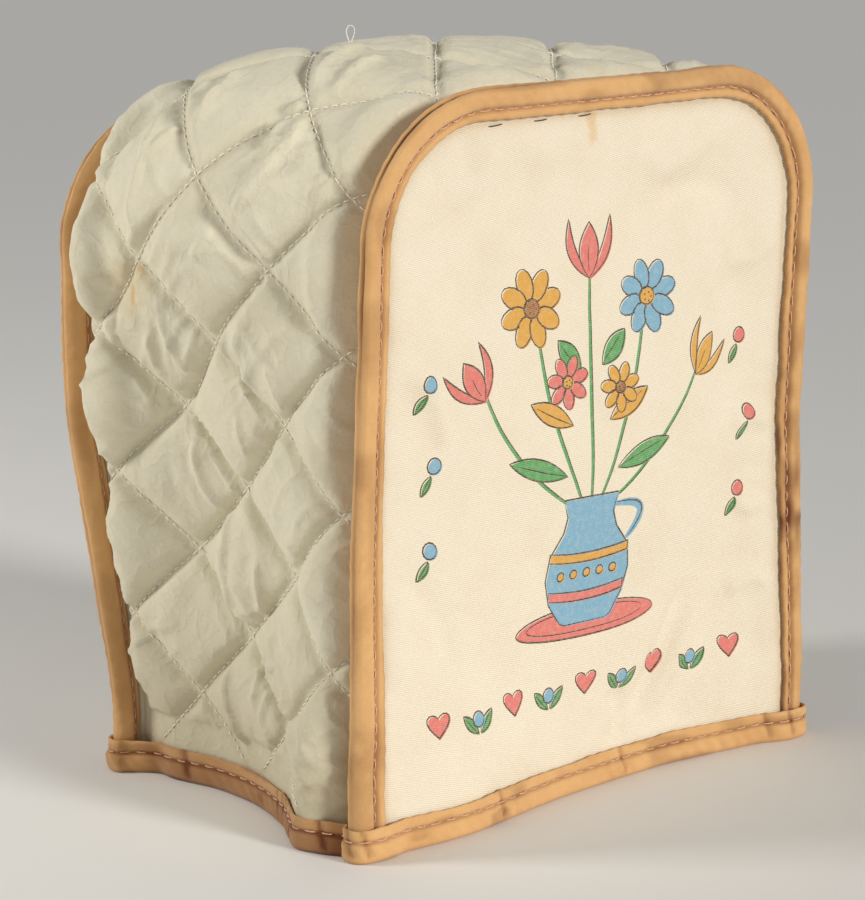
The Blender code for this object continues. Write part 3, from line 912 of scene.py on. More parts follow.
def start_material(name: str) -> tuple[Material, Tree, Node]:
    """Start a material.

    Args:
        name: Its name.

    Returns:
        The material, its tree and its shader.
    """
    material = bpy.data.materials.new(name)
    material.use_nodes = True
    tree = Tree(material.node_tree)
    return material, tree, tree.tree.nodes["Principled BSDF"]


class Groups:
    """The shader groups that the cloth finishes share, built once."""

    def __init__(self) -> None:
        """Build the groups."""
        self.weave, self.stain, self.mottle = weave_group(), stain_group(), mottle_group()


@dataclass(frozen=True)
class ClothFinish:
    """A woven cotton: its colours, weave, relief and stains."""
    name: str
    colour: Colour
    aged: Colour
    gap_shade_colour: Colour
    slant: float
    line: float
    bead: float
    gap_shade_share: float
    relief: float
    # Colour towards which each point's painted shade and soil darken the cloth.
    shade_and_soil: Colour
    clouds: float = 0.25
    slubs: float = 0.3
    crumple: float = 0.0
    rough: float = 0.92
    sheen: float = 0.15
    printed: bool = False
    blots: tuple[Blot, ...] = ()

    def build(self, groups: Groups) -> Material:
        """Make the material.

        Args:
            groups: The shared shader groups.

        Returns:
            The material.
        """
        material, tree, shader = start_material(self.name)
        cloth = tree.add("ShaderNodeUVMap", uv_map="cloth").outputs[0]
        weave = tree.group(groups.weave, {"Cloth": cloth, "Slant": self.slant, "Line": self.line,
                                          "Bead": self.bead}).outputs
        washed = tree.group(groups.mottle, {
            "Cloth": cloth, "Color": self.colour, "Aged": self.aged, "Clouds": self.clouds,
            "Slubs": self.slubs, "Crumple": self.crumple}).outputs
        colour = washed["Color"]
        gap = tree.times(weave["Gap"], self.gap_shade_share)
        if self.printed:
            ink = tree.add("ShaderNodeVertexColor", layer_name="ink")
            wear_and_shade = tree.ramp(tree.noise(cloth, 0.5, 4.0, 0.7), 0.25, 0.6, 0.80, 1.0)
            bare = tree.times_add(weave["Gap"], -0.25, 1.0)
            cover = tree.times(ink.outputs["Alpha"], tree.times(wear_and_shade, bare))
            colour = tree.mix(cover, colour, ink.outputs["Color"])
        # Painted shade in the weave's gaps between the threads.
        colour = tree.mix(gap, colour, self.gap_shade_colour, "MULTIPLY")
        for blot in self.blots:
            stain = tree.group(groups.stain, {
                "Cloth": cloth, "Centre": (*blot.centre, 0.0), "Half Size": (*blot.half, 1.0),
                "Raggedness": blot.ragged, "Strength": blot.strength})
            colour = tree.mix(stain.outputs["Mask"], colour, blot.colour, "MULTIPLY")
        # Painted shade: each point's darkening attribute, mostly shade in grooves, folds and joins
        # with some soil, pulls the colour towards the dark colour.
        dust = tree.add("ShaderNodeAttribute", attribute_name="dust").outputs["Fac"]
        colour = tree.mix(dust, colour, self.shade_and_soil, "MULTIPLY")
        height = tree.math("ADD", weave["Height"], washed["Height"])
        bump = tree.add("ShaderNodeBump", {"Strength": 1.0, "Distance": self.relief * MM,
                                           "Height": height})
        tree.out(shader, Base_Color=colour, Normal=bump.outputs[0])
        shader.inputs["Roughness"].default_value = self.rough
        shader.inputs["Sheen Weight"].default_value = self.sheen
        shader.inputs["Sheen Roughness"].default_value = 0.6
        shader.inputs["Specular IOR Level"].default_value = 0.15
        return material


@dataclass(frozen=True)
class ThreadFinish:
    """Spun thread: light and dark bands where it twists, and painted shade where it enters its
    hole.
    """
    name: str
    light: Colour
    dark: Colour
    # Colour of the painted shade at the thread's two ends.
    hole: Colour
    twist: float = 0.35

    def build(self) -> Material:
        """Make the material.

        Returns:
            The material.
        """
        material, tree, shader = start_material(self.name)
        place = tree.add("ShaderNodeTexCoord").outputs["Object"]
        strand = tree.noise(place, 1.0 / (self.twist * MM))
        colour = tree.mix(tree.ramp(strand, 0.35, 0.65), self.dark, self.light)
        # Painted shade: the thread darkens towards the hole colour at its two ends, where it sinks
        # into the cloth.
        tip = tree.add("ShaderNodeAttribute", attribute_name="tip").outputs["Fac"]
        colour = tree.mix(tree.ramp(tip, 0.84, 1.0), colour, self.hole)
        bump = tree.add("ShaderNodeBump", {"Distance": 0.05 * MM, "Height": strand})
        tree.out(shader, Base_Color=colour, Normal=bump.outputs[0])
        shader.inputs["Roughness"].default_value = 0.7
        shader.inputs["Sheen Weight"].default_value = 0.2
        return material


# The third colour of each cloth is the painted shade in its weave's gaps; its dark colour is that
# of painted shade in grooves, folds and joins, and of soil.
CANVAS = ClothFinish(
    "plain_canvas", srgb(244, 233, 211), srgb(236, 220, 190), srgb(206, 184, 150), slant=0.30,
    line=0.62, bead=0.62, gap_shade_share=0.34, relief=0.10, shade_and_soil=srgb(206, 180, 140), clouds=0.4,
    slubs=0.16)
PRINTED_CANVAS = replace(CANVAS, name="printed_canvas", printed=True,
                         blots=(Blot((8.7, 219), (3.2, 9), 0.5, srgb(240, 206, 150)),))
MUSLIN = ClothFinish(
    "quilted_muslin_cloth", srgb(228, 221, 197), srgb(216, 206, 176), srgb(210, 202, 174),
    slant=0.1, line=0.36, bead=0.36, gap_shade_share=0.12, relief=0.035, shade_and_soil=srgb(178, 160, 120),
    clouds=0.45, slubs=0.22, crumple=4.2, blots=(
        Blot((169, 206), (15, 17), 0.4, srgb(228, 208, 166)),
        Blot((165, 205), (5.5, 3.2), 0.6, srgb(244, 196, 136)),
        Blot((174, 201), (3.0, 4.0), 0.5, srgb(240, 200, 144))))
TAPE = ClothFinish(
    "tan_tape_cotton", srgb(230, 182, 122), srgb(206, 154, 96), srgb(184, 138, 90), slant=0.78,
    line=0.42, bead=0.42, gap_shade_share=0.3, relief=0.05, shade_and_soil=srgb(128, 86, 50), clouds=0.6,
    slubs=0.3, rough=0.85, sheen=0.2)
PALE_THREAD = ThreadFinish("pale_thread", srgb(255, 253, 243), srgb(240, 234, 216),
                           srgb(178, 165, 136))
ROSE_THREAD = ThreadFinish("rose_thread", srgb(236, 190, 156), srgb(196, 138, 104),
                           srgb(104, 66, 42))
BROWN_THREAD = ThreadFinish("brown_thread", srgb(92, 66, 46), srgb(60, 42, 30), srgb(40, 28, 20))


# ---- quilted strip ----
@dataclass
class ClothRelaxer:
    """Lets a grid of cloth settle: its threads keep their length while the filling pushes out."""
    slack: float = 0.07
    push: float = 0.024
    bend: float = 0.05
    calm: float = 0.035
    rounds: int = 220
    skin_every: int = 4

    def links(self, shape: tuple[int, int]) -> list[tuple[tuple, tuple, float]]:
        """Pairs of slices of the grid that threads join, in batches that share no point.

        Args:
            shape: Rows and columns of the grid.

        Returns:
            For each batch, two index tuples and a stiffness.
        """
        batches = []
        ways = ((1, 0, 1.0), (0, 1, 1.0), (1, 1, 0.5), (1, -1, 0.5),
                (3, 0, self.bend), (0, 3, self.bend), (2, 2, self.bend), (2, -2, self.bend))
        for down, over, share in ways:
            axis, step = (0, down) if down else (1, over)
            low, high = slice(0, shape[1] - abs(over)), slice(abs(over), shape[1])
            for first in range(min(2 * step, shape[axis] - step)):
                near = slice(first, shape[axis] - step, 2 * step)
                far = slice(first + step, shape[axis], 2 * step)
                if axis:
                    batches.append(((slice(None), near), (slice(None), far), share))
                elif over >= 0:
                    batches.append(((near, low), (far, high), share))
                else:
                    batches.append(((near, high), (far, low), share))
        return batches

    def settle(self, grid: Array, held: Array) -> Array:
        """Settle a grid.

        Args:
            grid: Start points, whose distances plus the slack are the threads' lengths.
            held: How firmly each point keeps its start place, from 0 to 1.

        Returns:
            The settled points.
        """
        home = grid.astype(np.float32)
        rough = Ripple(11)
        i, j = np.meshgrid(np.arange(grid.shape[0]), np.arange(grid.shape[1]), indexing="ij")
        start = 0.35 * rough(i / 4.0, j / 4.0) + 0.2 * rough(i / 2.0 + 9, j / 2.0)
        skin = grid_normals(home).astype(np.float32)
        points = home + skin * (start * (1 - held))[..., None].astype(np.float32)
        batches = []
        for near, far, share in self.links(grid.shape[:2]):
            rest = np.linalg.norm(home[far] - home[near], axis=-1, keepdims=True) * (1 + self.slack)
            batches.append((near, far, np.float32(0.5 * share), rest.astype(np.float32)))
        grip = held[..., None].astype(np.float32)
        for turn in range(self.rounds):
            if turn % self.skin_every == 0:
                skin = grid_normals(points).astype(np.float32)
            points += skin * np.float32(self.push) * (1 - grip)
            for near, far, share, rest in batches:
                gap = points[far] - points[near]
                length = np.sqrt((gap * gap).sum(-1, keepdims=True))
                move = gap * (share * (1 - rest / np.maximum(length, 1e-6)))
                points[near] += move
                points[far] -= move
            lag = points - home
            mean = lag.copy()
            mean[1:-1, 1:-1] = (lag[2:, 1:-1] + lag[:-2, 1:-1] + lag[1:-1, 2:] + lag[1:-1, :-2]) / 4
            points += np.float32(self.calm) * (mean - lag)
            points += grip * (home - points)
        return points.astype(float)


@dataclass
class QuiltedStrip:
    """The strip that runs up one side, over the top and down the other, quilted in diamonds."""
    puff: float = 3.6
    puff_mean: float = 0.4
    puff_end: float = 1.5
    half_length: float = 24.5
    half_width: float = 24.4
    length_start: float = 30.0
    width_start: float = 27.0
    width: float = 160.0
    rows: int = 540
    columns: int = 132
    lining_columns: int = 22
    trough: float = 0.9
    valley: float = 1.1
    swell_share: float = 0.4
    edge_band: float = 0.15
    crease_height: float = 1.1
    gather_height: float = 1.3
    ruffle: float = 0.25
    fine_ruffle: float = 0.12
    relaxer: ClothRelaxer = field(default_factory=ClothRelaxer)
    face: Array | None = None
    dust: Array | None = None

    def level(self, share: Array, across: Array) -> Array:
        """Height of the outer side over the line between the folds, before the quilting.

        Args:
            share: Places along the strip, one a row.
            across: Places over its depth, one a column.

        Returns:
            Heights by row and column.
        """
        rows = read_table(STRIP_FORM, plumb_along(share))
        body = curve_through(FORM_PLACES, rows.T, across).T
        root = -(SEW.stitch + SEW.turn_radius)
        first, last = FORM_PLACES[0], FORM_PLACES[-1]
        front = root + (rows[:, :1] - root) * np.sin(np.clip(across / first, 0, 1) * math.pi / 2)
        back = root + (rows[:, -1:] - root) * np.sin(
            np.clip((1 - across) / (1 - last), 0, 1) * math.pi / 2)
        body = np.where(across < first, front, body)
        return np.where(across > last, back, body)

    def lattice(self, length: Array, depth: Array) -> tuple[Array, Array]:
        """Place in the lattice of stitched lines; lines lie where a sum or difference is even."""
        return ((length - self.length_start) / self.half_length,
                (depth - self.width_start) / self.half_width)

    def diamond(self, length: Array, depth: Array) -> Array:
        """Height of the quilting: 0 on a stitched line, 1 in the middle of a diamond."""
        a, b = self.lattice(length, depth)
        return np.sqrt(np.abs(np.sin(math.pi * (a + b) / 2) * np.sin(math.pi * (a - b) / 2)))

    def line_distance(self, length: Array, depth: Array) -> Array:
        """Distance to the nearest stitched line.

        Args:
            length: Places along the strip.
            depth: Depths of the same shape.

        Returns:
            Distances of that shape.
        """
        a, b = self.lattice(length, depth)
        first = np.abs((a + b + 1) % 2 - 1)
        second = np.abs((a - b + 1) % 2 - 1)
        slant = math.hypot(1 / self.half_length, 1 / self.half_width)
        return np.minimum(first, second) / slant

    def fullness(self, share: Array) -> Array:
        """Share of the full puff at places along the strip."""
        return read_table(FULLNESS, share)

    def edge_swell(self, share: Array, across: Array) -> Array:
        """How far the puffs beside the seams bulge, before they dip at the stitched lines.

        Args:
            share: Places along the strip, one a row.
            across: Places over its depth, one a column.

        Returns:
            Heights by row and column.
        """
        height = read_table(EDGE_PUFF, share)
        total = np.zeros((len(share), len(across)))
        for k, away in enumerate((across, 1 - across)):
            reach = np.clip(away / self.edge_band, 0, 1)
            total += height[:, k:k + 1] * (reach ** 0.6 * (1 - reach) ** 1.2 / 0.318)[None, :]
        return total

    def gathers(self, length: Array, depth: Array) -> Array:
        """Fine sharp folds that the stitching gathers up: patches of them, slanting two ways.

        Args:
            length: Places along the strip.
            depth: Depths of the same shape.

        Returns:
            Heights from 0 to about 1.
        """
        noise = Ripple(41)
        total = np.zeros_like(length)
        for k, (cos, sin) in enumerate(((0.80, 0.60), (0.70, -0.71))):
            along, over = length * cos + depth * sin, depth * cos - length * sin
            fold = 1 - np.abs(noise(over / 5.2 + 20 * k, along / 19.0 + 31 * k))
            patch = smooth(1.6 * noise(length / 26.0 + 7 * k, depth / 19.0 + 11 * k) + 0.25)
            total += fold ** 4 * patch
        return total

    def surface(self, share: Array, across: Array, inner: bool = False) -> tuple[Array, Array]:
        """Points between the two turns, and their depths before they are raised.

        Args:
            share: Places along the strip, one a row.
            across: Places over its depth, one a column.
            inner: Whether to give the inner side.

        Returns:
            Points of the shape (rows, columns, 3), and depths of (rows, columns).
        """
        down, offset = seam_arc(SEW.turn_radius, 90)
        start = FRONT.point(share, down, offset)[:, None]
        end = BACK.point(share, down, offset)[:, None]
        (a, a_out), (b, b_out) = FRONT.place(share), BACK.place(share)
        t = across[None, :, None]
        out = unit(a_out[:, None] + (b_out - a_out)[:, None] * t)
        flat = a[:, None] + (b - a)[:, None] * t
        depth = (start + (end - start) * t)[..., 1]
        edge = smooth(np.minimum(across, 1 - across) / FORM_PLACES[0])[None, :]
        steps = share * STEPS
        ends = smooth(np.minimum(steps - 1, STEPS - 1 - steps) / self.puff_end)[:, None]
        rise, bulge = -self.puff_mean, 0.0
        if not inner:
            quilting = self.diamond(share[:, None] * FRONT.length + 0 * depth, depth)
            rise = quilting - self.puff_mean
            bulge = self.edge_swell(share, across) * (0.25 + 0.75 * quilting)
        puffed = self.puff * self.fullness(share)[:, None] * rise * edge
        level = self.level(share, across) + (puffed + bulge) * ends
        level = level - (SEW.quilt_flat if inner else 0.0)
        flat = flat + out * level[..., None]
        return np.stack([flat[..., 0], depth, flat[..., 1]], -1), depth

    def settle(self) -> None:
        """Puff the outer side up and lay its creases."""
        share = np.linspace(0, 1, self.rows)
        across = np.linspace(0, 1, self.columns)
        home, depth = self.surface(share, across)
        length = share[:, None] * FRONT.length + 0 * depth
        stitched = bell(self.line_distance(length, depth), self.valley)
        rim = np.minimum(across, 1 - across)[None, :] * self.width
        ends = np.minimum(length, FRONT.length - length)
        held = np.maximum(stitched * 0.9, 1 - smooth(rim / 6.0))
        held = np.clip(np.maximum(held, 1 - smooth((ends - SEW.hem_height) / 10.0)), 0, 1)
        grid = self.relaxer.settle(home, held)
        normals = grid_normals(home)
        lift = ((grid - home) * normals).sum(-1)
        full = self.fullness(share)[:, None]
        spare = softened(lift, 5) * (1 - self.swell_share * full)
        grid = grid - normals * spare[..., None]
        places = np.stack([length, depth], -1)
        creases = self.crease_height * crease_relief(places, STRIP_CREASES, crisp=True)
        creases += self.gather_height * self.gathers(length, depth) * np.sqrt(full)
        fine = Ripple(5)
        small = self.ruffle * fine(length / 7.0, depth / 5.0)
        small = small + self.fine_ruffle * fine(length / 2.6 + 7, depth / 3.1)
        free = (1 - 0.8 * stitched) * smooth(rim / 5.0) * smooth((ends - SEW.hem_height) / 8.0)
        grid = grid + normals * ((creases + small) * free)[..., None]
        lift = ((grid - home) * normals).sum(-1)
        floor = -self.trough - self.puff * full * self.diamond(length, depth) * 0.8
        grid += normals * np.maximum(floor - lift, 0)[..., None]
        self.face = grid
        # Painted shade in the stitched valleys and beside the two seams, and the strip made darker
        # towards both feet.
        seam_shade = 0.14 * np.exp(-rim / 2.5)
        self.dust = np.maximum(0.18 * stitched, seam_shade) + 0.35 * smooth(1 - ends / 80.0)

    def build(self, finish: Material) -> Object:
        """Make the strip's mesh.

        Args:
            finish: The muslin.

        Returns:
            The piece.
        """
        share = np.linspace(0, 1, self.rows)
        angles = np.linspace(0, 90, 6)
        turn_out = [(down, SEW.strip_face)
                    for down in (SEW.cloth_tip, SEW.midway, SEW.stitch - 0.4)]
        turn_out += [seam_arc(SEW.turn_radius, a) for a in angles[:-1]]
        under = SEW.strip_face - SEW.quilt_seam
        turn_in = [(SEW.cloth_tip, under), (SEW.stitch, under),
                   seam_arc(SEW.turn_radius + SEW.quilt_seam, 90)]
        across = np.linspace(0, 1, self.lining_columns)[1:-1]
        lining = self.surface(share, across, inner=True)[0]

        def edge(seam: Seam, rows: Sequence[Point]) -> list[Array]:
            """Points of a seam's edge at every row of the strip."""
            return [seam.point(share, down, offset) for down, offset in rows]

        columns = edge(FRONT, turn_out) + list(np.moveaxis(self.face, 1, 0))
        columns += edge(BACK, turn_out[::-1]) + edge(BACK, turn_in)
        columns += list(np.moveaxis(lining, 1, 0))[::-1] + edge(FRONT, turn_in[::-1])
        sections = np.stack(columns, 1)
        around = arc_lengths(sections[self.rows // 4])
        shell = loft(sections, share * FRONT.length, around + 100.0)
        after = sections.shape[1] - len(turn_out) - self.columns
        # The seam turns and the inner side get a fixed painted shade.
        shell.dust = np.pad(self.dust, ((0, 0), (len(turn_out), after)), constant_values=0.3)
        return make_piece("gusset_cloth", shell.outward(), finish, Slot.MUSLIN, "gusset")

    def stitch_lines(self) -> Pairs:
        """Lines of quilting stitches on the settled face, with their outward directions.

        Returns:
            Pairs of points and directions, one pair for each line.
        """
        down, offset = seam_arc(SEW.turn_radius, 90)
        share = np.linspace(0, 1, self.rows)
        front = FRONT.point(share, down, offset)[:, 1]
        back = BACK.point(share, down, offset)[:, 1]
        normals = grid_normals(self.face)
        sway = Ripple(23)
        lines = []
        for sign in (1, -1):
            for k in range(-6, 30):
                length = np.arange(SEW.hem_height + 1.5, FRONT.length - SEW.hem_height - 1.5, 1.0)
                a = (length - self.length_start) / self.half_length
                depth = self.width_start + sign * (2 * k - a) * self.half_width
                depth = depth + 0.35 * sway(length / 9.0, k * 3.1 + sign)
                row = length / FRONT.length * (self.rows - 1)
                near = np.interp(row, np.arange(self.rows), front)
                far = np.interp(row, np.arange(self.rows), back)
                across = (depth - near) / (far - near)
                keep = (across > 0.01) & (across < 0.99)
                if keep.sum() < 6:
                    continue
                col = across[keep] * (self.columns - 1)
                lines.append((read_grid(self.face, row[keep], col),
                              unit(read_grid(normals, row[keep], col))))
        return lines


# ---- printed design ----
class Ink(Enum):
    """Printing inks."""
    LINE = srgb(62, 46, 36)
    GREEN = srgb(76, 164, 90)
    BLUE = srgb(120, 178, 208)
    PINK = srgb(230, 116, 110)
    OCHRE = srgb(226, 166, 56)
    BROWN = srgb(170, 108, 56)


@dataclass
class PrintedDesign:
    """A plain kitchen-garden print: tulips and daisies in a jug, with a row of hearts below.

    Every motif is an ordinary one drawn from arcs; later shapes lie over earlier ones.
    """
    pen: float = 0.62
    slip: Point = (0.5, -0.4)
    shapes: list[tuple[Array, Ink]] = field(default_factory=list)

    def fill(self, outline: Array, ink: Ink, lined: bool = True) -> None:
        """Lay a filled shape, a little off its drawn line.

        Args:
            outline: The shape's closed outline.
            ink: Its colour.
            lined: Whether to draw the line too.
        """
        self.shapes.append((outline + np.array(self.slip), ink))
        if lined:
            self.draw(np.vstack([outline, outline[:2]])[:-1])

    def draw(self, route: Array, width: float | None = None, ink: Ink = Ink.LINE) -> None:
        """Draw a pen line that swells in its middle.

        Args:
            route: The line's points.
            width: Its greatest width, or none for the pen's own.
            ink: Its colour.
        """
        way = unit(np.gradient(route, axis=0))
        side = np.stack([-way[:, 1], way[:, 0]], -1)
        share = np.linspace(0, 1, len(route))
        half = (width or self.pen) / 2 * (0.45 + 0.55 * np.sin(np.pi * share) ** 0.6)
        edge = side * half[:, None]
        self.shapes.append((np.vstack([route + edge, (route - edge)[::-1]]), ink))

    @staticmethod
    def oval(centre: Point, wide: float, tall: float, turn: float = 0.0,
             count: int = 18) -> Array:
        """Outline of an oval, turned by an angle.

        Args:
            centre: Its middle.
            wide: Half of its width.
            tall: Half of its height.
            turn: The angle.
            count: Number of points.

        Returns:
            The outline.
        """
        t = np.linspace(0, math.tau, count, endpoint=False)
        x, y = wide * np.cos(t), tall * np.sin(t)
        cos, sin = math.cos(turn), math.sin(turn)
        return np.stack([centre[0] + x * cos - y * sin, centre[1] + x * sin + y * cos], -1)

    @staticmethod
    def bow(start: Point, end: Point, sag: float, count: int = 14) -> Array:
        """Points of an arc between two places that bows out to one side.

        Args:
            start: First place.
            end: Last place.
            sag: How far it bows out, to the left of its way.
            count: Number of points.

        Returns:
            The points.
        """
        a, b = np.array(start, float), np.array(end, float)
        t = np.linspace(0, 1, count)[:, None]
        side = np.array([-(b - a)[1], (b - a)[0]]) / np.hypot(*(b - a))
        return a + (b - a) * t + side * sag * 4 * t * (1 - t)

    def leaf(self, base: Point, tip: Point, fat: float, ink: Ink = Ink.GREEN) -> None:
        """A pointed leaf with a midrib.

        Args:
            base: Where it grows.
            tip: Its point.
            fat: How far each side bows out.
            ink: Its colour.
        """
        rim = np.vstack([self.bow(base, tip, fat), self.bow(base, tip, -fat)[::-1][1:-1]])
        self.fill(rim, ink)
        self.draw(self.bow(base, tip, fat * 0.12, 8)[:7], self.pen * 0.7)

    def daisy(self, centre: Point, reach: float, petals: int, ink: Ink, eye: Ink) -> None:
        """A round flower of oval petals about an eye.

        Args:
            centre: Its middle.
            reach: Its radius.
            petals: Number of petals.
            ink: Their colour.
            eye: Colour of the eye.
        """
        def out(turn: float, share: float) -> Point:
            """A place in a direction from the middle, at a share of the radius."""
            far = reach * share
            return centre[0] + far * math.cos(turn), centre[1] + far * math.sin(turn)

        for k in range(petals):
            turn = math.tau * k / petals + 0.3
            self.fill(self.oval(out(turn, 0.62), reach * 0.42, reach * 0.26, turn, 14), ink)
        self.fill(self.oval(centre, reach * 0.26, reach * 0.24, 0, 14), eye)
        for k in range(5):
            turn = math.tau * k / 5
            self.fill(self.oval(out(turn, 0.12), 0.35, 0.35, 0, 6), Ink.LINE, lined=False)

    def petal(self, foot: Point, tip: Point, out: float, back: float, ink: Ink) -> None:
        """A shape between an arc from foot to tip and one back, with the sag of each."""
        rim = np.vstack([self.bow(foot, tip, out), self.bow(tip, foot, back)[1:-1]])
        self.fill(rim, ink)

    def tulip(self, foot: Point, turn: float, size: float, ink: Ink) -> None:
        """A cup-shaped flower of three petals, on its foot.

        Args:
            foot: Where it sits on its stem.
            turn: The angle by which it leans.
            size: Its height, about.
            ink: Its colour.
        """
        cos, sin = size * math.cos(turn), size * math.sin(turn)

        def place(x: float, y: float) -> Point:
            """A place in the flower's own axes, y pointing out of its foot."""
            return foot[0] + x * cos - y * sin, foot[1] + x * sin + y * cos

        for side in (-1, 1):
            self.petal(place(0, 0), place(0.55 * side, 1.15), -0.26 * size * side,
                       0.05 * size * side, ink)
        self.petal(place(0, 0), place(0, 1.05), 0.24 * size, 0.24 * size, ink)
        self.draw(self.bow(place(0, 0.15), place(0, 0.6), 0.02 * size, 6), self.pen * 0.6)

    def heart(self, centre: Point, size: float, ink: Ink) -> None:
        """A small heart.

        Args:
            centre: Its middle.
            size: Half of its width, about.
            ink: Its colour.
        """
        t = np.linspace(0, math.tau, 22, endpoint=False)
        x = 0.9 * np.sin(t) ** 3
        y = 0.72 * np.cos(t) - 0.3 * np.cos(2 * t) - 0.11 * np.cos(3 * t)
        self.fill(np.stack([centre[0] + size * x, centre[1] + size * y], -1), ink)

    def stem(self, route: Array) -> None:
        """A thin green stem with a pen line beside it."""
        self.draw(route, 1.5, Ink.GREEN)
        self.draw(route + np.array([0.55, 0.1]), self.pen * 0.7)

    def jug(self, foot: Point) -> None:
        """A round-bellied jug with two bands, standing on its foot.

        Args:
            foot: Middle of its foot.
        """
        x, z = foot
        right = np.array([(9, 0), (11, 1), (16, 8), (18, 16), (16.5, 24), (11, 31), (9.5, 36),
                          (11.5, 42)], float)
        left = right[::-1] * np.array([-1, 1])
        body = np.vstack([right, left]) + np.array([x, z])
        handle = self.bow((x + 15.5, z + 26), (x + 10.5, z + 38), -9)
        self.draw(handle, 3.2, Ink.BLUE)
        self.draw(handle + np.array([0.6, 0.5]), self.pen)
        self.fill(body, Ink.BLUE)
        for low, reach in ((9, 16.2), (22, 16.6)):
            band = np.vstack([self.bow((x - reach, z + low), (x + reach, z + low), -1.6),
                              self.bow((x + reach, z + low + 3), (x - reach, z + low + 3), 1.6)])
            self.fill(band, Ink.PINK if low < 15 else Ink.OCHRE)
        for k in range(-2, 3):
            self.fill(self.oval((x + 5.6 * k, z + 16.6), 1.5, 1.5, 0, 10), Ink.OCHRE)

    def compose(self) -> "PrintedDesign":
        """Lay out the whole print.

        Returns:
            This design.
        """
        mouth = (8.0, 98.0)
        blooms = ((-36, 138, 0.55), (-16, 160, 0.25), (8, 172, 0.0), (32, 160, -0.25),
                  (54, 136, -0.55))
        for k, (x, z, lean) in enumerate(blooms):
            self.stem(self.bow((mouth[0] + 2.6 * (k - 2), mouth[1] - 2), (x, z), 5 * (2 - k) / 2))
        for side, z, reach in ((-1, 112, 30), (1, 112, 30), (-1, 128, 22), (1, 128, 21),
                               (-1, 145, 12), (1, 146, 13)):
            base = (mouth[0] + side * (reach * 0.36), z - 4)
            self.leaf(base, (mouth[0] + side * reach * 1.15, z + 9 - reach * 0.2), 3.4,
                      Ink.GREEN if z != 128 else Ink.OCHRE)
        self.tulip((-36, 136), 0.6, 15, Ink.PINK)
        self.daisy((-17, 163), 12.5, 8, Ink.OCHRE, Ink.BROWN)
        self.tulip((8, 170), 0.0, 17, Ink.PINK)
        self.daisy((33, 162), 12.0, 8, Ink.BLUE, Ink.OCHRE)
        self.tulip((54, 134), -0.6, 15, Ink.OCHRE)
        self.daisy((-2, 138), 8.5, 7, Ink.PINK, Ink.OCHRE)
        self.daisy((20, 134), 8.0, 7, Ink.OCHRE, Ink.BROWN)
        self.fill(self.oval((8, 58.5), 31, 5.2, 0, 40), Ink.PINK)
        self.draw(self.oval((8, 58.9), 26, 3.6, 0, 40), self.pen * 0.7)
        self.jug((8, 58))
        for k in range(9):
            x = -58 + 16.9 * k
            z = 36 + 1.6 * math.cos(k * math.pi)
            if k % 2 == 0:
                self.heart((x, z), 5.0, Ink.PINK)
                continue
            self.leaf((x - 0.5, z - 3), (x - 6.5, z + 3.5), 1.7)
            self.leaf((x + 0.5, z - 3), (x + 6.5, z + 3.5), 1.7)
            self.fill(self.oval((x, z + 1.5), 2.5, 2.5, 0, 12), Ink.BLUE)
        for x, ink in ((-58, Ink.BLUE), (78, Ink.PINK)):
            for k, z in enumerate((92, 118, 144)):
                self.fill(self.oval((x + (k % 2) * 3, z), 2.6, 2.6, 0, 12), ink)
                self.leaf((x + (k % 2) * 3 - 1, z - 3), (x + (k % 2) * 3 - 5, z - 9), 1.4)
        return self


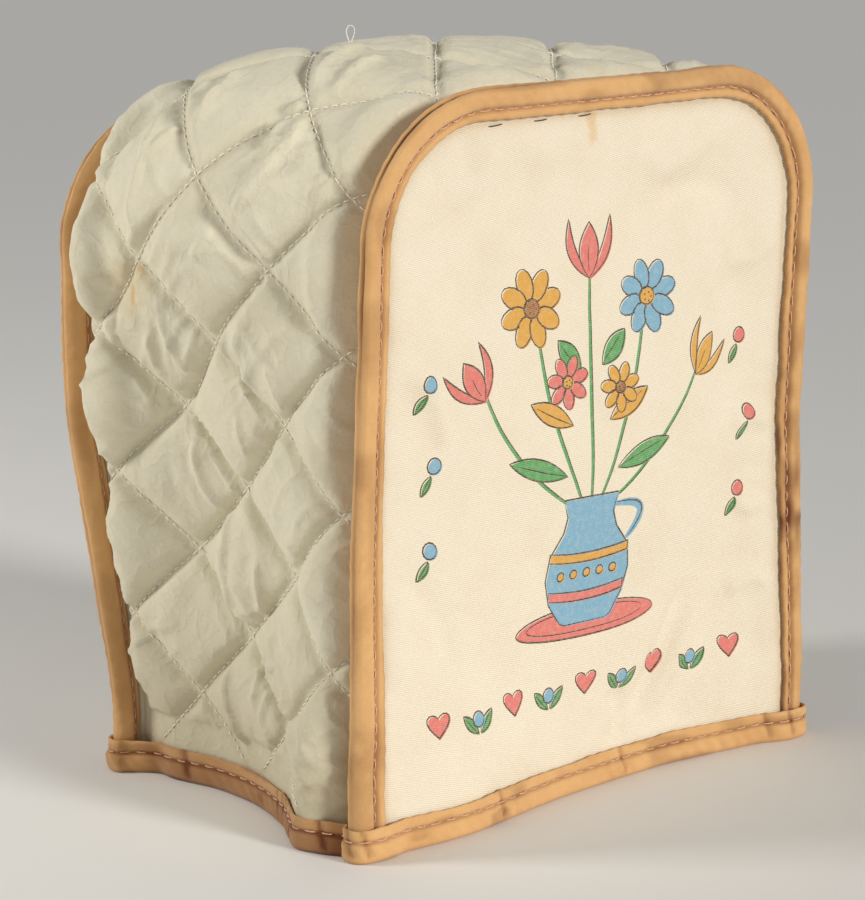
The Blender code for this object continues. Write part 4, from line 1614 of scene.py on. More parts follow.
# ---- panels ----
@dataclass
class Panel:
    """A flat canvas panel inside its bound seam, with its print on the outer side."""
    name: str
    node: str
    seam: Seam
    facing: Facing
    dimples: tuple[Dimple, ...]
    creases: tuple[Crease, ...]
    print_: PrintedDesign | None = None
    rim_steps: int = 400
    sill_points: int = 118
    pitch: float = 1.5
    ease: float = 38.0
    edge_downs: tuple[float, ...] = (9.6, 7.2, 5.2, 3.4)
    crease_depth: float = 2.2
    pucker_depth: float = 0.75
    hem_depth: float = 0.5
    broad_depth: float = 1.3
    small_depth: float = 0.2
    seed: int = 3

    def ring(self) -> Array:
        """The line where the cloth comes free of its seam, from foot to foot."""
        return self.seam.point(np.linspace(0, 1, self.rim_steps + 1), SEW.seam_depth, 0.0)

    def relief(self, flat: Array) -> Array:
        """Offset in Y that dimples, creases and puckers add to the flat cloth.

        Args:
            flat: Places in x and z.

        Returns:
            An offset for each place; the ridges point outwards.
        """
        ring = self.ring()[:, [0, 2]]
        away, share = near_route(flat, ring[::4])
        sill = flat[:, 1] - SEW.hem_height
        ease = smooth(away / self.ease) * smooth(sill / 44.0)
        total = np.zeros(len(flat))
        for d in self.dimples:
            spread = ((flat[:, 0] - d.x) / d.width) ** 2 + ((flat[:, 1] - d.z) / d.height) ** 2
            total += d.depth * np.exp(-spread) * ease
        noise = Ripple(self.seed)
        free = (1 - np.exp(-away / 2.5)) * smooth(sill / 5.0)
        creases = crease_relief(flat, self.creases)
        along = share * self.seam.length
        pucker = noise(along / 6.5, 1.0) * np.exp(-away / 9.0) * self.pucker_depth
        hem = noise(flat[:, 0] / 7.0, 9.0) * np.exp(-np.maximum(sill, 0) / 9.0) * self.hem_depth
        broad = self.broad_depth * noise(flat[:, 0] / 26, flat[:, 1] / 22 + 20)
        small = self.small_depth * noise(flat[:, 0] / 8 + 5, flat[:, 1] / 7)
        folds = self.crease_depth * creases + pucker + hem + broad + small
        return total + self.facing.value * free * folds

    def triangulate(self, rim: Array, shapes: list[tuple[Array, Ink]]) -> tuple[Array, list, list]:
        """Triangles of the flat cloth inside its rim, cut along the printed shapes.

        Args:
            rim: The closed rim in x and z, without a repeated end.
            shapes: Printed shapes with their inks.

        Returns:
            Flat points, triangles, and an ink or none for each triangle.
        """
        low, high = rim.min(0), rim.max(0)
        xs = np.arange(low[0] + self.pitch / 2, high[0], self.pitch)
        zs = np.arange(low[1] + self.pitch / 2, high[1], self.pitch)
        grid = np.stack(np.meshgrid(xs, zs), -1).reshape(-1, 2)
        grid[:, 0] += (np.round((grid[:, 1] - low[1]) / self.pitch) % 2) * self.pitch * 0.5
        grid = grid[inside(grid, rim)]
        away, _ = near_route(grid, np.vstack([rim, rim[:1]])[::2])
        grid = grid[away > self.pitch * 0.55]
        points = [rim, grid]
        edges = [(k, (k + 1) % len(rim)) for k in range(len(rim))]
        count = len(rim) + len(grid)
        for outline, _ in shapes:
            size = len(outline)
            edges += [(count + k, count + (k + 1) % size) for k in range(size)]
            points.append(outline)
            count += size
        flat = np.vstack(points).astype(np.float32).astype(float)
        verts, _, faces, origins, _, _ = delaunay_2d_cdt(
            [Vector(p) for p in flat], edges, [], 0, 1e-4, True)
        verts = np.array([tuple(v) for v in verts])
        order = [0] * len(verts)
        for new, olds in enumerate(origins):
            order[new] = min(olds) if olds else len(flat)
        centres = verts[np.array(faces)].mean(1)
        keep = inside(centres, flat[:len(rim)])
        inks = np.full(len(faces), -1)
        for k, (outline, _) in enumerate(shapes):
            box_low, box_high = outline.min(0), outline.max(0)
            near = np.where(((centres > box_low) & (centres < box_high)).all(1))[0]
            inks[near[inside(centres[near], outline)]] = k
        rank = np.argsort(order, kind="stable")
        where = np.empty(len(rank), int)
        where[rank] = np.arange(len(rank))
        tris = [tuple(int(where[v]) for v in face) for face, kept in zip(faces, keep) if kept]
        colours = [shapes[k][1] if k >= 0 else None for k in inks[keep]]
        return verts[rank], tris, colours

    def skin(self, side: float, shapes: list[tuple[Array, Ink]]) -> tuple[Array, list, list]:
        """One side of the cloth: the patch inside the rim, then its strips in the seam.

        Args:
            side: Half of the thickness, in Y.
            shapes: Printed shapes with their inks.

        Returns:
            Points, faces, and an ink or none for each face.
        """
        ring = self.ring()
        sill = np.linspace(ring[-1], ring[0], self.sill_points + 2)[1:-1]
        rim = np.vstack([ring, sill])[:, [0, 2]]
        flat, faces, inks = self.triangulate(rim, shapes)
        depth = self.seam.depth(flat[:, 0], flat[:, 1]) + self.relief(flat)
        count = len(ring)
        depth[:count] = ring[:, 1]
        points = [np.stack([flat[:, 0], depth, flat[:, 1]], -1)]
        share = np.linspace(0, 1, count)
        total, before = len(flat), np.arange(count)
        for down in self.edge_downs:
            points.append(self.seam.point(share, down, 0.0))
            now = total + np.arange(count)
            faces += [(int(before[k]), int(before[k + 1]), int(now[k + 1]), int(now[k]))
                      for k in range(count - 1)]
            inks += [None] * (count - 1)
            total, before = total + count, now
        skin = np.vstack(points)
        skin[:, 1] += side
        return skin, faces, inks

    def outline(self, points: Array) -> list[int]:
        """Point numbers round a side's outer edge.

        Args:
            points: The side's points, its seam strips last.

        Returns:
            The numbers, once round.
        """
        count, steps = self.rim_steps + 1, len(self.edge_downs)
        base = len(points) - steps * count
        left = [base + k * count for k in reversed(range(steps))]
        right = [base + k * count + count - 1 for k in range(steps)]
        crown = list(range(base + (steps - 1) * count + count - 1, base + (steps - 1) * count, -1))
        sill = list(range(count - 1, count + self.sill_points)) + [0]
        return left + sill[::-1] + right[:-1] + crown

    def on_face(self, route: Array, height: float) -> tuple[Array, Array]:
        """Points over the outer side, with their outward directions.

        Args:
            route: Places in x and z.
            height: How far over the cloth.

        Returns:
            Points and directions.
        """
        out = np.tile([0.0, float(self.facing.value), 0.0], (len(route), 1))
        depth = self.seam.depth(route[:, 0], route[:, 1]) + self.relief(route)
        points = np.stack([route[:, 0], depth, route[:, 1]], -1)
        return points + out * (SEW.canvas / 2 + height), out

    def build(self, finish: Material) -> Object:
        """Make the panel.

        Args:
            finish: The canvas.

        Returns:
            The piece.
        """
        half = self.facing.value * SEW.canvas / 2
        shapes = self.print_.shapes if self.print_ else []
        outer, outer_faces, inks = self.skin(half, shapes)
        inner, inner_faces, _ = self.skin(-half, [])
        count = len(outer)
        faces = list(outer_faces) + [tuple(count + k for k in f[::-1]) for f in inner_faces]
        a, b = self.outline(outer), self.outline(inner)
        size = len(a)
        faces += [(a[(k + 1) % size], a[k], count + b[k], count + b[(k + 1) % size])
                  for k in range(size)]
        points = np.vstack([outer, inner])
        chart = [(points[k][0], points[k][2]) for face in faces for k in face]
        tint: list[Colour] = []
        for face, ink in zip(faces, inks + [None] * (len(faces) - len(inks))):
            tint += [ink.value if ink else (1.0, 1.0, 1.0, 0.0)] * len(face)
        # Painted shade where the panel runs under its seam tape, with some soil there.
        away, _ = near_route(points[:, [0, 2]], self.ring()[::4, [0, 2]])
        shell = Shell(points, faces, chart, tint, 0.4 * np.exp(-away / 1.5)).outward()
        return make_piece(self.name, shell, finish, Slot.CANVAS, self.node)


# ---- tapes ----
@dataclass
class SeamTape:
    """Folded tape over a bound seam, sewn through with one line of stitches."""
    name: str
    node: str
    seam: Seam
    seed: int
    pitch: float = 5.6
    rows: int = 620
    groove: float = 0.5
    hole: float = 0.3
    ripple: float = 0.14
    wave: float = 0.32
    fine_wave: float = 0.10
    fold_groove: float = 1.6
    fold_spot: float = 0.545
    fold_deepest: float = 0.38
    soiled: tuple[Triple, ...] = ()
    fold_start: float = 0.02
    fold_end: float = 0.98
    face: Array | None = None
    dust: Array | None = None
    profile: Array | None = None

    @property
    def stitches(self) -> str:
        """Name of the tape's stitches."""
        return self.name + "_stitches"

    def outer_profile(self) -> Array:
        """Fine outer side of the tape's section, as down and offset, panel side first.

        Returns:
            Points of the shape (n, 2).
        """
        near, far = SEW.stack_middle - SEW.cavity, SEW.stack_middle + SEW.cavity
        fold = SEW.cavity + SEW.tape
        leg, face = SEW.tape_leg, near - SEW.tape
        knots = [(leg, near - 0.25), (leg + 0.12, near - SEW.tape * 0.5), (leg - 0.25, face - 0.12),
                 (9.0, face - 0.22), (SEW.stitch, face + SEW.gap / 2),
                 (SEW.midway, face - SEW.tape_swell)]
        knots += [(SEW.cloth_tip - fold * math.cos(a), SEW.stack_middle + fold * math.sin(a))
                  for a in np.radians((-62, -31, 0, 31, 62))]
        knots += [(SEW.midway, far + SEW.tape + SEW.tape_swell / 2), (SEW.stitch, far + SEW.tape),
                  seam_arc(SEW.turn_radius - SEW.gap - SEW.tape, 42),
                  seam_arc(SEW.turn_radius - SEW.gap - 0.3, 46)]
        knots = np.array(knots)
        reach = arc_lengths(knots, closed=False)
        return curve_through(reach, knots, np.linspace(0, reach[-1], 46))

    def inner_profile(self) -> list[Point]:
        """The side that lies on the cloth, strip side first.

        Returns:
            Points as down and offset.
        """
        near, far = SEW.stack_middle - SEW.cavity, SEW.stack_middle + SEW.cavity
        rows = [seam_arc(SEW.turn_radius - SEW.gap, 44), (SEW.stitch, far), (SEW.midway, far),
                (SEW.cloth_tip - SEW.gap / 2, far), (SEW.cloth_tip - SEW.cavity, SEW.stack_middle)]
        return rows + [(SEW.cloth_tip - SEW.gap / 2, near), (SEW.midway, near), (SEW.stitch, near)]

    def settle(self) -> None:
        """Work out the outer face with its groove, holes, ripples and creases."""
        self.profile = self.outer_profile()
        down, offset = self.profile[:, 0][None, :], self.profile[:, 1][None, :]
        way = unit(np.gradient(self.profile, axis=0))
        normal = np.stack([way[:, 1], -way[:, 0]], -1)
        if normal[len(normal) // 2, 0] > 0:
            normal = -normal
        share = np.linspace(0, 1, self.rows)
        s = (share * self.seam.length)[:, None]
        noise = Ripple(self.seed)
        spot = np.linspace(0, 1, len(self.profile))[None, :]
        stitch = bell(down - SEW.stitch, 0.75)
        beat = 0.5 + 0.5 * np.cos(math.tau * s / self.pitch)
        body = smooth((SEW.stitch - down) / 1.5) * smooth((down + 0.5) / 2.0)
        slant = s + (SEW.stitch - down) * 0.9
        waves = np.sin(math.tau * slant / self.pitch + 1.5 * noise(s / 20.0, 3.0))
        lift = -self.groove * stitch - self.hole * stitch * beat
        lift = lift + self.ripple * body * waves * (0.6 + 0.6 * noise(s / 16.0, 7.0))
        free = smooth((SEW.tape_leg - down) / 2.0)
        lift = lift + self.wave * noise(s / 13.0, spot * 5.0 + 2) * free
        lift = lift + self.fine_wave * noise(s / 2.6, spot * 14.0 + 30)
        fold = spot - self.fold_spot
        fold_line = bell(fold, 0.026) - 0.4 * bell(fold - 0.065, 0.03)
        running = smooth((share - self.fold_start) / 0.05) * smooth((self.fold_end - share) / 0.05)
        running = running * (0.3 + 0.7 * bell(share - self.fold_deepest, 0.12))
        depth = self.fold_groove * running[:, None] * (0.75 + 0.5 * noise(s / 22.0, 40.0))
        lift = lift - depth * fold_line
        leg = smooth((down - 7.6) / 1.6)
        wave = 0.3 * noise(s / 9.0, 50.0) + 0.1 * np.cos(math.tau * s / self.pitch)
        edge_down = down + leg * wave + normal[None, :, 0] * lift
        edge_offset = offset + normal[None, :, 1] * np.maximum(lift, -0.75)
        self.face = self.seam.point(share[:, None] + 0 * down, edge_down, edge_offset)
        # Painted shade in the stitch groove, in the fold's groove and along the leg's edge, with
        # random soil and the soiled patches.
        tape_shade_and_soil = 0.5 * stitch + 0.8 * depth * np.maximum(fold_line, 0) + 0.22 * smooth(
            noise(s / 15.0, spot * 4.0 + 60) * 1.5 - 0.1)
        for place, reach, amount in self.soiled:
            patchy = 0.6 + 0.6 * noise(s / 5.0, spot * 9.0 + 80)
            tape_shade_and_soil = tape_shade_and_soil + amount * patchy * bell(share[:, None] - place, reach)
        self.dust = tape_shade_and_soil + 0.25 * bell(down - SEW.tape_leg, 0.5)

    def build(self, finish: Material) -> Object:
        """Make the tape's mesh.

        Args:
            finish: The tape's cotton.

        Returns:
            The piece.
        """
        share = np.linspace(0, 1, self.rows)
        inner = [self.seam.point(share, down, offset) for down, offset in self.inner_profile()]
        sections = np.concatenate([self.face, np.stack(inner, 1)], 1)
        around = arc_lengths(sections[self.rows // 2])
        shell = loft(sections, share * self.seam.length, around)
        after = sections.shape[1] - self.dust.shape[1]
        # The side that lies on the cloth gets a fixed painted shade.
        shell.dust = np.pad(self.dust, ((0, 0), (0, after)), constant_values=0.4)
        return make_piece(self.name, shell.outward(), finish, Slot.TAPE, self.node)

    def stitch_lines(self, height: float = 0.12) -> Pairs:
        """Lines of stitches on both sides of the tape.

        Args:
            height: How far the thread's middle lies over the cloth.

        Returns:
            Pairs of points and outward directions.
        """
        normals = grid_normals(self.face)
        middle = self.face[:, len(self.profile) // 2]
        centre = self.face.mean(1)
        if ((middle - centre) * normals[:, len(self.profile) // 2]).sum() < 0:
            normals = -normals
        lines = []
        keep = slice(12, self.rows - 12)
        for half in (slice(0, 20), slice(26, 46)):
            k = half.start + int(np.argmin(np.abs(self.profile[half, 0] - SEW.stitch)))
            lines.append((self.face[keep, k] + normals[keep, k] * height, normals[keep, k]))
        return lines


@dataclass
class HemTape:
    """The tape that closes the hem all round."""
    name: str = "hem_tape"
    node: str = "hem_binding"
    stitches: str = "hem_stitches"
    pitch: float = 5.8
    rows: int = 620
    swell: float = 0.5
    groove: float = 0.38
    hole: float = 0.3
    ripple: float = 0.34
    pleat_depth: float = 0.75
    wave: float = 0.35
    fine_wave: float = 0.12
    chamfer: float = 0.9
    mitre: float = 1.4
    stitch_height: float = 6.9
    # Length at the end of the hem, the left side, that gets painted shade.
    left_shade_length: float = 118.0
    # Pinched folds across the tape: place along the hem, counted from the front left corner,
    # and width.
    pleats: tuple[Point, ...] = (
        (-24.0, 1.0), (-28.5, 0.9), (-33.0, 1.1), (-38.0, 0.9), (-43.5, 0.8), (-96.0, 1.5),
        (-8.0, 1.0), (6.0, 1.2), (12.0, 0.9), (70.0, 0.8), (131.0, 0.9), (196.0, 1.1),
        (205.0, 0.9), (232.0, 1.0), (268.0, 0.9), (330.0, 1.0), (352.0, 0.9), (431.0, 1.0))
    length: float = 0.0
    face: Array | None = None
    dust: Array | None = None
    out: Array | None = None
    slot_out: Array | None = None
    slot_in: Array | None = None
    skin_in: Array | None = None

    def beside_panel(self, seam: Seam, share: float, foot: Array, down: float,
                     offset: float) -> Array:
        """A plan point at a corner, measured from the panel where it is free of the seam.

        Args:
            seam: The panel's seam.
            share: Place along the seam.
            foot: The panel's foot line.
            down: Distance from the fold.
            offset: Distance from the panel's middle.

        Returns:
            The point.
        """
        point = seam.point(share, down, offset)
        if foot[:, 0].min() <= point[0] <= foot[:, 0].max():
            rising = foot if foot[0, 0] < foot[-1, 0] else foot[::-1]
            point[1] = np.interp(point[0], rising[:, 0], rising[:, 1]) + seam.inward * offset
        return point

    def corner(self, seam: Seam, share: float, foot: Array) -> Pairs:
        """Outer and inner cloth points at one corner, from panel to side.

        Args:
            seam: The seam at the corner.
            share: Its end, 0 or 1.
            foot: The panel's foot line.

        Returns:
            Pairs of points.
        """
        rows = []
        for k, (down, offset) in enumerate(HEM_AROUND_SEAM):
            angle = math.pi / 2 * k / (len(HEM_AROUND_SEAM) - 1)
            inner = (INSIDE_CORNER[0] - INSIDE_BEND[0] * math.sin(angle),
                     INSIDE_CORNER[1] - INSIDE_BEND[1] * math.cos(angle))
            rows.append((self.beside_panel(seam, share, foot, down, offset),
                         self.beside_panel(seam, share, foot, *inner)))
        return rows

    def side(self, strip: QuiltedStrip, share: float) -> Pairs:
        """Outer and inner cloth points of the strip at a foot, front to back.

        Args:
            strip: The settled strip.
            share: Its end, 0 or 1.

        Returns:
            Pairs of points.
        """
        places = np.linspace(0, 1, 15)[1:-1]
        outer = strip.surface(np.array([share]), places)[0][0]
        inner = strip.surface(np.array([share]), places, inner=True)[0][0]
        return list(zip(outer, inner))

    def panel(self, seam: Seam) -> tuple[Array, Pairs]:
        """A panel's foot line, and its outer and inner cloth points from left to right.

        Args:
            seam: The panel's seam.

        Returns:
            The line, and pairs of points.
        """
        ends = seam.point(np.array([0.0, 1.0]), SEW.seam_depth, 0.0)
        line = np.linspace(ends[0], ends[1], 15)
        line[:, 1] = seam.depth(line[:, 0], line[:, 2])
        out = np.array([0, -seam.inward * SEW.canvas / 2, 0])
        return line, [(p + out, p - out) for p in line[1:-1]]

    def grown(self, line: Array, distance: float) -> Array:
        """A closed counter-clockwise plan outline moved outwards.

        Args:
            line: The outline's points.
            distance: How far they move.

        Returns:
            Their new places in x and y.
        """
        before = unit((line - np.roll(line, 1, 0))[:, :2])
        after = unit((np.roll(line, -1, 0) - line)[:, :2])
        out = unit(np.stack([before[:, 1] + after[:, 1], -before[:, 0] - after[:, 0]], -1))
        across = (out * np.stack([before[:, 1], -before[:, 0]], -1)).sum(-1)
        return line[:, :2] + out * (distance / np.maximum(1 / self.mitre, across))[:, None]

    def fine(self, line: Array, at: Array) -> Array:
        """A smooth closed line through coarse points, read at places given in points.

        Args:
            line: The coarse points.
            at: The places.

        Returns:
            A point for each place.
        """
        k = np.floor(at).astype(int)
        t = (at - k)[:, None]
        p = [line[(k + d) % len(line)] for d in (-1, 0, 1, 2)]
        square, cube = 2 * p[0] - 5 * p[1] + 4 * p[2] - p[3], 3 * p[1] - p[0] - 3 * p[2] + p[3]
        return 0.5 * (2 * p[1] + (p[2] - p[0]) * t + square * t ** 2 + cube * t ** 3)

    def settle(self, strip: QuiltedStrip) -> None:
        """Work out the tape's route and its outer face.

        Args:
            strip: The quilted strip, whose feet the tape follows.
        """
        front_line, front = self.panel(FRONT)
        back_line, back = self.panel(BACK)
        rows = self.corner(FRONT, 0.0, front_line)[::-1] + front
        rows += self.corner(FRONT, 1.0, front_line) + self.side(strip, 1.0)
        rows += self.corner(BACK, 1.0, back_line)[::-1] + back[::-1]
        rows += self.corner(BACK, 0.0, back_line) + self.side(strip, 0.0)[::-1]
        outer = np.array([row[0] for row in rows])
        inner = np.array([row[1] for row in rows])
        wall = SEW.gap + SEW.tape
        coarse = self.grown(outer, wall)
        steps = arc_lengths(coarse)
        at = np.interp(np.linspace(0, steps[-1], self.rows, endpoint=False), steps,
                       np.arange(len(coarse) + 1))
        self.length = steps[-1]
        skin = self.fine(coarse, at)
        self.out = unit(self.fine(self.grown(outer, wall + 1), at) - skin)
        self.slot_out = self.fine(self.grown(outer, SEW.gap), at)
        self.slot_in = self.fine(self.grown(inner, -SEW.gap), at)
        self.skin_in = self.fine(self.grown(inner, -wall), at)
        z = np.concatenate([[0.0, 0.25, self.chamfer], np.linspace(1.6, 10.0, 18), [10.6, 11.0]])
        s = np.linspace(0, self.length, self.rows, endpoint=False)[:, None]
        turn = s / self.length
        noise = Ripple(77)

        def round_noise(cells: float, row: Any) -> Array:
            """Noise that meets itself after one turn round the hem.

            Args:
                cells: Number of cells round the hem.
                row: Second coordinate of the noise.

            Returns:
                The noise.
            """
            first, second = noise(turn * cells, row), noise((turn - 1) * cells + 64, row)
            blend = smooth((turn - 0.97) / 0.03)
            return first * (1 - blend) + second * blend

        beats = round(self.length / self.pitch)
        beat = 0.5 + 0.5 * np.cos(math.tau * turn * beats)
        bulge = self.swell * np.sin(np.clip((z - 0.9) / 6.0, 0, 1) * math.pi) ** 0.8
        stitch = bell(z - self.stitch_height, 0.7)
        slanted = np.sin(math.tau * (turn * beats + (z - self.stitch_height) * 0.14) + 1.2
                         * round_noise(40, 3.0))
        below = smooth((self.stitch_height - z) / 1.5) * smooth((z - 0.6) / 1.5)
        above = smooth((z - self.stitch_height) / 1.0)
        lift = bulge - (self.groove + self.hole * beat) * stitch
        lift = lift + self.ripple * below * slanted * (0.7 + 0.6 * round_noise(36, 8.0))
        pinch = np.zeros_like(lift)
        for place, reach in self.pleats:
            lean = turn * self.length - (place % self.length) + (z - self.stitch_height) * 0.25
            pinch += bell(lean, reach) * smooth((z - 0.8) / 2.0)
        lift = lift - self.pleat_depth * pinch * (below + 0.8 * above)
        lift = lift + self.wave * round_noise(52, z / 3.0 + 20) * (below + 0.5 * above)
        lift = lift + self.fine_wave * round_noise(240, z / 1.2 + 44)
        lift = lift - 0.12 * above
        lift = np.where(z < self.chamfer, -self.chamfer * (1 - (z / self.chamfer) ** 0.5), lift)
        lift = np.where(z > 10.5, lift - 0.35 * (z - 10.5) / 0.5, lift)
        top = 0.45 * round_noise(70, 51.0) + 0.2 * beat - 0.2
        height = z + top * smooth((z - 8.0) / 3.0)
        flat = skin[:, None] + self.out[:, None] * lift[..., None]
        self.face = np.concatenate([flat, height[..., None]], -1)
        # Painted shade in the stitch groove and in the pinched pleats, with random soil, and the
        # tape darker along its bottom edge.
        shade_and_soil = 0.5 * stitch + 0.45 * pinch + 0.3 * smooth(1.5 * round_noise(60, z / 4.0 + 70) - 0.2)
        shade_and_soil = shade_and_soil + 0.25 * smooth(1 - z / 2.0)
        # Painted shade over the left side, strongest below the stitch line, and at the puckered
        # front-left corner.
        spent = turn * self.length - self.length
        low = smooth((self.stitch_height + 1 - z) / 2.0)
        wear_and_shade = smooth((spent + self.left_shade_length) / 8.0) * (0.3 + 0.3 * low)
        corner = 0.3 * bell(np.minimum(turn * self.length, -spent), 7.0)
        self.dust = shade_and_soil + wear_and_shade + corner

    def build(self, finish: Material) -> Object:
        """Make the tape's mesh.

        Args:
            finish: The tape's cotton.

        Returns:
            The piece.
        """
        def level(line: Array, z: float) -> Array:
            """A closed line at one height."""
            return np.concatenate([line, np.full((len(line), 1), z)], 1)[:, None]

        channel = [level(self.slot_out, SEW.hem_height - 0.6), level(self.slot_out, SEW.tape),
                   level(self.slot_in, SEW.tape), level(self.slot_in, SEW.hem_height)]
        channel += [level(self.skin_in, z) for z in (SEW.hem_height, 7.5, 4.0, 0.0)]
        sections = np.concatenate([self.face] + channel, 1)
        around = arc_lengths(sections[0])
        along = np.linspace(0, self.length, self.rows + 1)
        shell = loft(sections, along, around, ring=True)
        after = sections.shape[1] - self.dust.shape[1]
        # The channel and the inner side get a fixed painted shade.
        shell.dust = np.pad(self.dust, ((0, 0), (0, after)), constant_values=0.4)
        return make_piece(self.name, shell.outward(), finish, Slot.TAPE, self.node)

    def stitch_lines(self, height: float = 0.12) -> Pairs:
        """The line of stitches round the hem.

        Args:
            height: How far the thread's middle lies over the cloth.

        Returns:
            One pair of points and outward directions.
        """
        k = int(np.argmin(np.abs(self.face[0, :, 2] - self.stitch_height)))
        out = np.concatenate([self.out, np.zeros((self.rows, 1))], 1)
        return [(self.face[:, k] + out * height, out)]


# ---- stitches and loose fibres ----
class StrandTree(Tree):
    """Geometry Nodes tree that sets small bent strands on points and leaves a plain mesh."""

    def __init__(self, name: str, numbers: Sequence[str]) -> None:
        """Start the tree with its named inputs.

        Args:
            name: The tree's name.
            numbers: Names of its number inputs.
        """
        super().__init__(bpy.data.node_groups.new(name, "GeometryNodeTree"))
        kinds = {"Geometry": "Geometry", **dict.fromkeys(numbers, "Float"), "Seed": "Int",
                 "Finish": "Material"}
        face = self.tree.interface
        for key, kind in kinds.items():
            face.new_socket(key, in_out="INPUT", socket_type="NodeSocket" + kind)
        face.new_socket("Geometry", in_out="OUTPUT", socket_type="NodeSocketGeometry")
        self.start = self.add("NodeGroupInput").outputs

    def place(self, x: Any = 0.0, y: Any = 0.0, z: Any = 0.0) -> Socket:
        """A vector of three numbers."""
        return self.add("ShaderNodeCombineXYZ", {0: x, 1: y, 2: z}).outputs[0]

    def random(self, low: Any, high: Any, kind: str = "FLOAT") -> Socket:
        """A random value for each point, between two others.

        Args:
            low: The least value.
            high: The greatest value.
            kind: The node's data type.

        Returns:
            The value's socket.
        """
        first = 2 if kind == "FLOAT" else 0
        feeds = {first: low, first + 1: high, "Seed": self.start["Seed"]}
        outputs = self.add("FunctionNodeRandomValue", feeds, data_type=kind).outputs
        return next(socket for socket in outputs if socket.enabled)

    def strand(self, course: Sequence[Socket], sides: int, radius: Socket,
               tips: bool = False) -> Socket:
        """A thin bent tube.

        Args:
            course: Its foot, the handle of its bend and its end.
            sides: Number of sides.
            radius: Its radius.
            tips: Whether to store how near each point is to an end.

        Returns:
            The mesh's socket.
        """
        feeds = {"Resolution": 4, **dict(zip(("Start", "Middle", "End"), course))}
        arc = self.add("GeometryNodeCurveQuadraticBezier", feeds).outputs[0]
        ring = self.add("GeometryNodeCurvePrimitiveCircle",
                        {"Resolution": sides, "Radius": radius}, mode="RADIUS").outputs[0]
        if tips:
            along = self.add("GeometryNodeSplineParameter").outputs["Factor"]
            tip = self.math("ABSOLUTE", self.times_add(along, 2.0, -1.0))
            arc = self.add("GeometryNodeStoreNamedAttribute",
                           {"Geometry": arc, "Name": "tip", "Value": tip},
                           data_type="FLOAT", domain="POINT").outputs[0]
        return self.add("GeometryNodeCurveToMesh", {"Curve": arc, "Profile Curve": ring,
                                                    "Fill Caps": True}).outputs[0]

    def set_down(self, points: Socket, strand: Socket, stand: Socket, turn: Socket,
                 scale: Socket, soft: bool = False) -> NodeTree:
        """Put the strand on points, make it real, dress it and end the tree.

        Args:
            points: Where the strands go.
            strand: The mesh.
            stand: Rotation of each point.
            turn: Rotation of each strand on its point.
            scale: Size of each strand.
            soft: Whether to shade them smooth.

        Returns:
            The tree.
        """
        turned = self.add("FunctionNodeRotateRotation", {0: stand, 1: turn},
                          rotation_space="LOCAL").outputs[0]
        result = self.add("GeometryNodeInstanceOnPoints",
                          {"Points": points, "Instance": strand, "Rotation": turned,
                           "Scale": scale}).outputs[0]
        result = self.add("GeometryNodeRealizeInstances", {0: result}).outputs[0]
        if soft:
            result = self.add("GeometryNodeSetShadeSmooth", {0: result}).outputs[0]
        result = self.add("GeometryNodeSetMaterial", {"Geometry": result,
                                                      "Material": self.start["Finish"]}).outputs[0]
        self.out(self.add("NodeGroupOutput"), Geometry=result)
        return self.tree


class StitchTree(StrandTree):
    """Geometry Nodes tree that sets stitches along lines."""

    def __init__(self) -> None:
        """Name the tree and its inputs."""
        super().__init__("stitches_along_lines",
                         ("Pitch", "Length", "Thread", "Sink", "Lift", "Slant", "Stray"))

    def build(self) -> NodeTree:
        """Build the tree.

        Returns:
            A tree with inputs for the pitch, the stitch's sizes, its slant, a seed and a finish.
        """
        start = self.start
        lines = self.add("GeometryNodeMeshToCurve", {0: start["Geometry"]}).outputs[0]
        spaced = self.add("GeometryNodeResampleCurve", {"Curve": lines, "Length": start["Pitch"]},
                          mode="LENGTH").outputs[0]
        half, sunk = self.times(start["Length"], 0.5), self.times(start["Sink"], -1.0)
        course = (self.place(self.times(half, -1.0), z=sunk), self.place(z=start["Lift"]),
                  self.place(half, z=sunk))
        thread = self.strand(course, 5, start["Thread"], tips=True)
        away = self.add("GeometryNodeInputNamedAttribute", {"Name": "away"},
                        data_type="FLOAT_VECTOR").outputs["Attribute"]
        tangent = self.add("GeometryNodeInputTangent").outputs[0]
        stand = self.add("FunctionNodeAxesToRotation", {0: away, 1: tangent}, primary_axis="Z",
                         secondary_axis="X").outputs[0]
        stray = self.random(self.times(start["Stray"], -1.0), start["Stray"])
        turn = self.add("FunctionNodeAxisAngleToRotation", {
            "Axis": (0, 0, 1), "Angle": self.math("ADD", start["Slant"], stray)}).outputs[0]
        scale = self.place(self.random(0.82, 1.12), 1.0, 1.0)
        return self.set_down(spaced, thread, stand, turn, scale, soft=True)


@dataclass
class Stitching:
    """One run of stitches of one thread."""
    name: str
    slot: Slot
    pitch: float
    length: float
    thread: float
    sink: float
    lift: float
    seed: int
    slant: float = 0.0
    stray: float = 0.08

    def build(self, tree: NodeTree, finish: Material, lines: Pairs) -> Object:
        """Set the stitches along lines and keep them as a plain mesh.

        Args:
            tree: The stitches' node tree.
            finish: The thread's material.
            lines: Pairs of points and outward directions, in millimetres.

        Returns:
            The piece.
        """
        points = np.vstack([line for line, _ in lines])
        away = np.vstack([out for _, out in lines])
        edges, count = [], 0
        for line, _ in lines:
            edges += [(count + k, count + k + 1) for k in range(len(line) - 1)]
            count += len(line)
        mesh = bpy.data.meshes.new(self.name + "_lines")
        mesh.from_pydata(((points - BASE_MIDDLE) * MM).tolist(), edges, [])
        direction = mesh.attributes.new("away", "FLOAT_VECTOR", "POINT")
        direction.data.foreach_set("vector", away.astype(np.float32).ravel())
        values = {"Pitch": self.pitch * MM, "Length": self.length * MM, "Thread": self.thread * MM,
                  "Sink": self.sink * MM, "Lift": self.lift * MM, "Slant": self.slant,
                  "Stray": self.stray, "Seed": self.seed, "Finish": finish}
        return enlist(grow(self.name, mesh, tree, values), self.slot)


